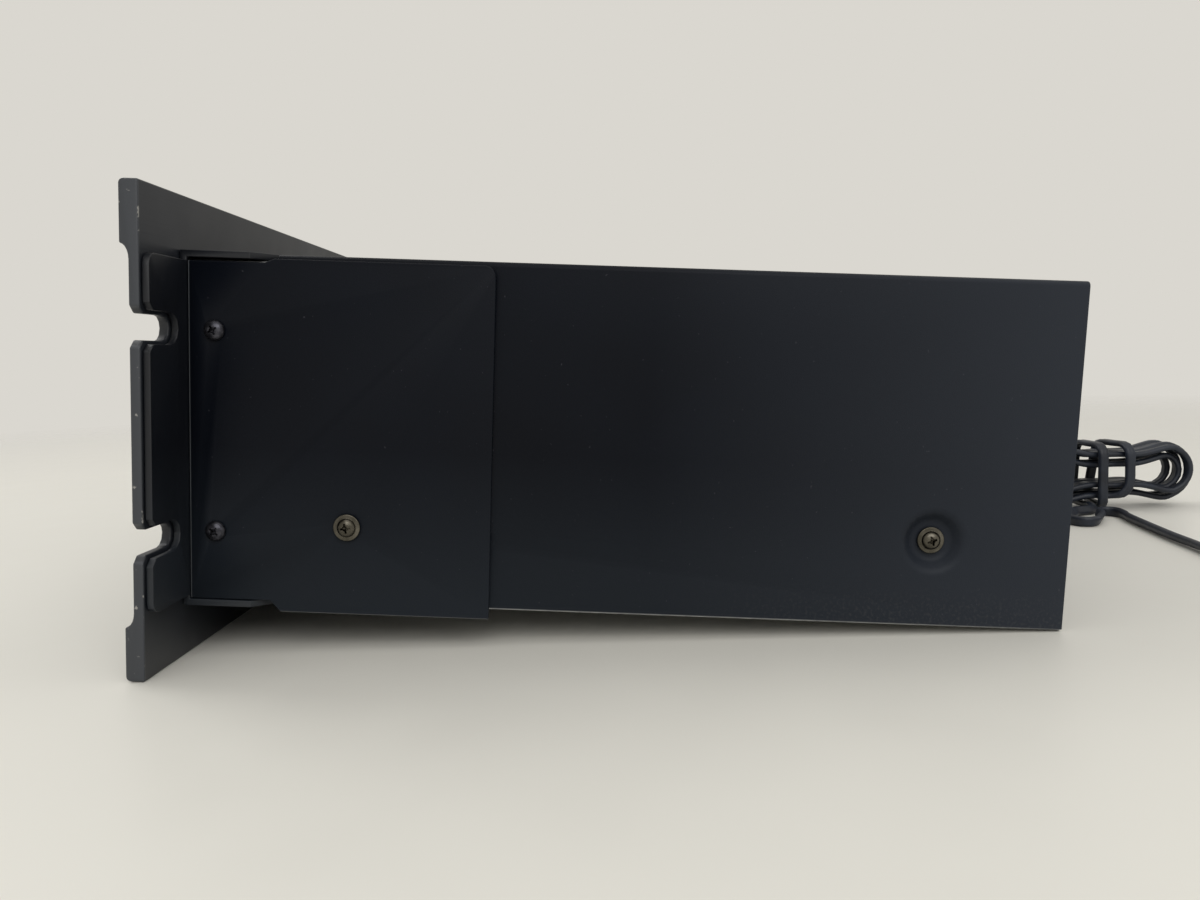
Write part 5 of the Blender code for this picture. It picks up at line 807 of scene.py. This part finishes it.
def make_plug():
    """A moulded flat plug with finger ridges, a ribbed nose and two blades."""
    turn = Matrix.Rotation(TABLE_ANGLE, 4, "X")
    start = on_table(178 * MM, 349 * MM, PLUG_HEIGHT)
    body = box_form((8 * MM, -11 * MM, -7 * MM), (33 * MM, 11 * MM, 7 * MM))
    bmesh.ops.subdivide_edges(body, edges=list(body.edges), cuts=5, use_grid_fill=True)
    for corner in body.verts:
        share = (33 * MM - corner.co.x) / (25 * MM)
        corner.co.y *= 1 - 0.34 * share ** 2
        corner.co.z *= 1 - 0.2 * share ** 2
    nose = lathe(rounded(NOSE_PROFILE, 0.5 * MM), 40)
    ribs = []
    for i in range(3):
        rib = lathe(rounded(RIB_PROFILE, 0.4 * MM), 40)
        ribs.append(moved(rib, (1.4 * MM + i * 2.3 * MM, 0, 0), ALONG_X))
    moved(nose, (0, 0, 0), ALONG_X)
    grips = []
    for i in range(5):
        for side in (1, -1):
            x = (13 + 2.6 * i) * MM
            low_z, high_z = sorted((side * 5.2 * MM, side * 7 * MM))
            grips.append(box_form((x, -5.5 * MM, low_z), (x + 1.1 * MM, 5.5 * MM, high_z), 0.3 * MM, 2))
    plug = finished("plug_moulding", moved(gather([body, nose] + ribs + grips), start, turn), CORD_PVC)
    eased(plug, 1.6 * MM, 3, 50)
    plug.modifiers["eased"].use_clamp_overlap = True
    stand_for(plug, "plug")
    blades = []
    for side in (1, -1):
        low = (32.6 * MM, side * 6.35 * MM - 0.75 * MM, -3.175 * MM)
        high = (49 * MM, side * 6.35 * MM + 0.75 * MM, 3.175 * MM)
        blades.append(box_form(low, high, 0.35 * MM, 2))
    pins = finished("plug_blades", moved(gather(blades), start, turn), SOCKET_NICKEL, False)
    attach(pins, "housing")
    return plug, pins


# Mains cord: flat, two-core, on the same route as its solids

LAID = 2.3 * MM
LOOP_POINTS, TURNS, LAYERS = 24, 6, 4
LOOP_STEP, LAYER_STEP, BULGE, WAIST_DROP = 5.2 * MM, 5 * MM, 14.6 * MM, 3 * MM
HALF_RUN, WRAP_GAP, WRAP_FIRST, WRAP_PITCH, WRAP_LAST_DRIFT = 26 * MM, 4.8 * MM, 5.3 * MM, 13.1 * MM, 5 * MM
HANK_X, HANK_ALONG, HANK_ENTRY = 10 * MM, 374.8 * MM, 48 * MM
LEAD_ROUTE = (
    (149.9, 273.4, 21.9), (149.6, 276.8, 18.4), (149, 279.4, 13), (147.8, 281.6, 8), (145.6, 283.6, 4.4),
    (141.6, 285.6), (134, 288.8), (120, 294.4), (97, 301.5), (70, 306.6), (45, 308.2), (27, 307.5),
    (16, 307.8), (8.8, 309.8), (4.4, 313.6),
)
TAIL_ROUTE = (
    (51, 336.2), (55.4, 336.3), (59.6, 338.2), (61, 342), (58.8, 345.8), (54.5, 348.8), (49.6, 352),
    (45, 354.9), (40.8, 356.2), (37.3, 357.6), (35.3, 360.4), (36.3, 364), (40, 365.8), (47, 365), (55, 363),
    (76, 360), (98.7, 357.2), (118, 355.6), (140, 352.6), (154, 350.3, 3.2), (163, 349.2, 5.8),
)
CROSSING_SHARES = (
    (18.3 * MM, 0, 0), (11.3 * MM, 0, 0.02), (6.8 * MM, 0, 0.35), (3.3 * MM, 0.25, 0.85),
    (0.9 * MM, 0.875, 1), (0, 1.8, 1), (0, 3, 1),
)
HANK_EXIT_ROUTE = ((26.5, 360.4), (30, 356.2), (33, 349), (36.5, 346), (40, 343), (43.5, 340))
HANK_ENTRY_ROUTE = ((0, 0), (4, 0), (12, 0.6))
PLUG_PLACE = (177.7 * MM, 349 * MM)
CORE_RADIUS = 1.4 * MM
CORE_OFFSET = 1.0 * MM
CORD_STEP = 2.2 * MM
# The free stretch on the table lies turned on its edge by this much
TAIL_TURN = math.radians(-62)


def laid(points):
    return [on_table(p[0] * MM, p[1] * MM, p[2] * MM if len(p) > 2 else LAID) for p in points]


def ease(share):
    share = min(max(share, 0), 1)
    return share * share * (3 - 2 * share)


def quarter(centre, radius, start):
    found = []
    for i in range(4):
        angle = math.radians(start + 30 * i)
        found.append((centre[0] + radius * math.cos(angle), centre[1] + radius * math.sin(angle)))
    return found


def hank_loops():
    """Six turns, as (along, up, across) from the hank's middle, in a spiral through four layers."""
    turns_a_layer = TURNS / LAYERS
    half = LOOP_POINTS // 2
    bulge_points = LOOP_POINTS // 3
    run_points = half - bulge_points
    lead_in = run_points // 2
    found = []
    for k in range(-lead_in, TURNS * LOOP_POINTS - 1):
        t = max(k, 0) / LOOP_POINTS
        layer, into = divmod(t, turns_a_layer)
        offset = LOOP_STEP * (into if layer % 2 == 0 else turns_a_layer - into)
        climbed = sum(ease((t - n * turns_a_layer) * 2 + 1 / 2) for n in range(1, LAYERS))
        across = (climbed - (LAYERS - 1) / 2) * LAYER_STEP
        radius = BULGE - offset
        position = (k + lead_in) % LOOP_POINTS
        side = 1 if position < half else -1
        place = position % half
        if place < run_points:
            along = HALF_RUN * (2 * place / run_points - 1)
            up = -radius + (WAIST_DROP if place else 0)
        else:
            angle = math.pi * (place - run_points) / bulge_points
            along = HALF_RUN + radius * math.sin(angle)
            up = -radius * math.cos(angle)
        found.append((side * along, side * up, across))
    return found


def hank_wraps():
    """The crossing from the loops, then two turns of the cord round the hank's waist, which end under it."""
    edge = (LAYERS - 1) / 2 * LAYER_STEP
    low, high = WAIST_DROP - BULGE, BULGE - WAIST_DROP - LOOP_STEP / 2
    found = [
        (WRAP_FIRST - before, low + WRAP_GAP * up_share, edge + WRAP_GAP * across_share)
        for before, up_share, across_share in CROSSING_SHARES
    ]
    corners = ((edge, high), (-edge, high), (-edge, low), (edge, low))
    arcs = [quarter(corner, WRAP_GAP, 90 * i) for i, corner in enumerate(corners)]
    ring = []
    for bend, following in zip(arcs, arcs[1:] + arcs[:1]):
        last, first = bend[-1], following[0]
        ring += bend + [((last[0] + first[0]) / 2, (last[1] + first[1]) / 2)]
    lengths = [sum(map(math.dist, ring[:i], ring[1:i + 1])) for i in range(len(ring))]
    second = WRAP_FIRST - WRAP_PITCH
    for start, drift, used in (
        (WRAP_FIRST, WRAP_PITCH, len(ring)), (second, WRAP_LAST_DRIFT, 1 - len(arcs[-1])),
    ):
        shares = [min(length / lengths[-2], 1) for length in lengths]
        placed = list(zip(ring, shares))[:used]
        found += [(start - drift * share, up, across) for (across, up), share in placed]
    return found


def smooth(route, step):
    """A smooth curve through the route's points, read at about the given step."""
    extended = [2 * route[0] - route[1]] + list(route) + [2 * route[-1] - route[-2]]
    found = [route[0]]
    for before, start, end, after in zip(extended, extended[1:], extended[2:], extended[3:]):
        count = max(1, round((end - start).length / step))
        for i in range(1, count + 1):
            t = i / count
            bend = 2 * start + (end - before) * t + (2 * before - 5 * start + 4 * end - after) * t * t
            found.append((bend + (3 * start - before - 3 * end + after) * t ** 3) / 2)
    return found


def cord_route():
    """The whole cord's points, and a number for each: 0 laid flat, 1 in the loops, 2 round the waist."""
    exit_place = Vector((150 * MM, 266.4 * MM, 40.6 * MM)) + PANEL_SHIFT
    straight = Vector((0, 4 * MM, 0))
    hank_height = BULGE - WAIST_DROP + WRAP_GAP + LAID
    start_x, start_along = HANK_X - (LAYERS - 1) / 2 * LAYER_STEP, HANK_ALONG - HANK_ENTRY
    loops, wraps = hank_loops(), hank_wraps()
    place = [
        on_table(HANK_X + across, HANK_ALONG + along, hank_height + up) for along, up, across in loops + wraps
    ]
    entry = [on_table(start_x, start_along + s * MM, LAID + r * MM) for s, r in HANK_ENTRY_ROUTE]
    lead_end = on_table(start_x, start_along - 0.3 * MM, LAID)
    into = on_table(0, 4 * MM, 0) - PANEL_SHIFT
    lead = [exit_place, exit_place + straight] + laid(LEAD_ROUTE) + [lead_end - 2 * into, lead_end - into]
    plug_end = on_table(*PLUG_PLACE, PLUG_HEIGHT)
    back = Vector((4 * MM, 0, 0))
    tail = laid(HANK_EXIT_ROUTE) + laid(TAIL_ROUTE)
    tail += [plug_end - 2 * back, plug_end - back, plug_end + back / 2]
    points = lead + entry + place + tail
    kinds = [0] * len(lead) + [1] * (len(entry) + len(loops)) + [2] * len(wraps) + [0] * len(tail)
    return points, kinds


def flat_directions(points, kinds):
    """The cord's wide side at each point: level or tilted when laid, across in loops, along the waist."""
    up = on_table(0, 0, 1) - PANEL_SHIFT
    along = on_table(0, 1, 0) - PANEL_SHIFT
    across = Vector((1, 0, 0))
    found = []
    for i, kind in enumerate(kinds):
        onward = (points[min(i + 1, len(points) - 1)] - points[max(i - 1, 0)]).normalized()
        level = onward.cross(up)
        tail = len(points) - i
        turned = 0
        if kind == 0 and tail < 60:
            turned = TAIL_TURN * ease((36 - tail) / 9) * ease((tail - 3) / 7)
        level = level.normalized() * math.cos(turned) + onward.cross(level).normalized() * math.sin(turned)
        found.append({0: level, 1: across, 2: -along}[kind].normalized())
    softened = []
    for i in range(len(found)):
        near = found[max(i - 3, 0):i + 4]
        softened.append(sum(near, Vector((0, 0, 0))).normalized())
    return softened


def make_cord():
    points, kinds = cord_route()
    wide = flat_directions(points, kinds)
    fine = smooth(points, CORD_STEP)
    sides = []
    for before, after, first, last in zip(wide, wide[1:], points, points[1:]):
        count = max(1, round((last - first).length / CORD_STEP))
        sides += [before.lerp(after, i / count) for i in range(count)]
    sides.append(wide[-1])
    outline = []
    for side in (1, -1):
        for i in range(9):
            angle = math.radians(-110 + 27.5 * i)
            x = CORE_OFFSET + CORE_RADIUS * math.cos(angle)
            outline.append((side * x, side * CORE_RADIUS * math.sin(angle)))
    form = bmesh.new()
    rings = []
    for i, place in enumerate(fine):
        onward = (fine[min(i + 1, len(fine) - 1)] - fine[max(i - 1, 0)]).normalized()
        thin = onward.cross(sides[i]).normalized()
        broad = thin.cross(onward)
        rings.append([form.verts.new(place + broad * a + thin * b) for a, b in outline])
    for first, last in zip(rings, rings[1:]):
        for i in range(len(outline)):
            j = (i + 1) % len(outline)
            form.faces.new((first[i], first[j], last[j], last[i]))
    form.faces.new(rings[0][::-1])
    form.faces.new(rings[-1])
    bmesh.ops.recalc_face_normals(form, faces=form.faces)
    cord = finished("mains_cord", form, CORD_PVC)
    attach(cord, "housing")
    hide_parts("cord_lead", "cord_hank", "cord_tail")


# Table and light

FLOOR_TONE = "#e4e1d7"
ROOM_TONE = "#dad7d0"


def make_table():
    """A plain pale table, sloped as the player rests on it, fading into the room far away."""
    form = bmesh.new()
    bmesh.ops.create_circle(form, cap_ends=True, cap_tris=True, segments=128, radius=3)
    turn = Matrix.Rotation(TABLE_ANGLE, 4, "X")
    f = Finish("table_top", FLOOR_TONE, 0.42, specular=0.35)
    f.paint(f.times(f.noise(150 * MM, 3), 0.2), "#e0ddd3").rub(f.noise(30 * MM, 4), 0.5)
    table = finished("table", moved(form, on_table(0, 0, -0.12 * MM), turn), f.done(), False)
    tree = f.tree
    far = add(tree, "ShaderNodeVectorMath", {0: f.place}, operation="LENGTH").outputs["Value"]
    fade = f.spread(far, 0.5, 1.3)
    clear = add(tree, "ShaderNodeBsdfTransparent")
    feeds = {0: fade, 1: f.shader.outputs[0], 2: clear.outputs[0]}
    mixed = add(tree, "ShaderNodeMixShader", feeds)
    tree.links.new(mixed.outputs[0], tree.nodes["Material Output"].inputs["Surface"])


def make_room():
    """A pale room that the camera and glossy surfaces see, with a plain soft level of light."""
    world = bpy.data.worlds.new("room")
    bpy.context.scene.world = world
    world.use_nodes = True
    tree = world.node_tree
    tree.nodes.clear()
    path = add(tree, "ShaderNodeLightPath")
    seen = path.outputs["Is Camera Ray"]
    for ray in ("Is Glossy Ray", "Is Transmission Ray"):
        seen = add(tree, "ShaderNodeMath", {0: seen, 1: path.outputs[ray]}, operation="MAXIMUM").outputs[0]
    light = add(tree, "ShaderNodeBackground", {"Color": (1, 1, 1, 1), "Strength": 0.55})
    pale = add(tree, "ShaderNodeBackground", {"Color": tone(ROOM_TONE), "Strength": 1})
    feeds = {0: seen, 1: light.outputs[0], 2: pale.outputs[0]}
    mixed = add(tree, "ShaderNodeMixShader", feeds)
    add(tree, "ShaderNodeOutputWorld", {"Surface": mixed.outputs[0]})


def softbox(name, place, size, power):
    data = bpy.data.lights.new(name, "AREA")
    data.shape = "RECTANGLE"
    data.size, data.size_y = size
    data.energy = power
    lamp = bpy.data.objects.new(name, data)
    bpy.context.scene.collection.objects.link(lamp)
    place = Vector(place)
    aim = Vector((0, 0, 0.06)) - place
    lamp.matrix_world = Matrix.Translation(place) @ aim.to_track_quat("-Z", "Y").to_matrix().to_4x4()


make_metalwork()
make_screws()
make_front()
make_sockets()
plug, pins = make_plug()
make_cord()
make_table()
make_room()
softbox("ceiling_panel", (0.35, 0.15, 1.5), (1.8, 1.4), 4)
softbox("window_side", (1.4, 0.25, 1.0), (1.4, 0.9), 9)
softbox("front_side", (-0.25, -1.0, 1.05), (0.6, 0.45), 4)
bpy.context.scene.view_settings.view_transform = "Standard"
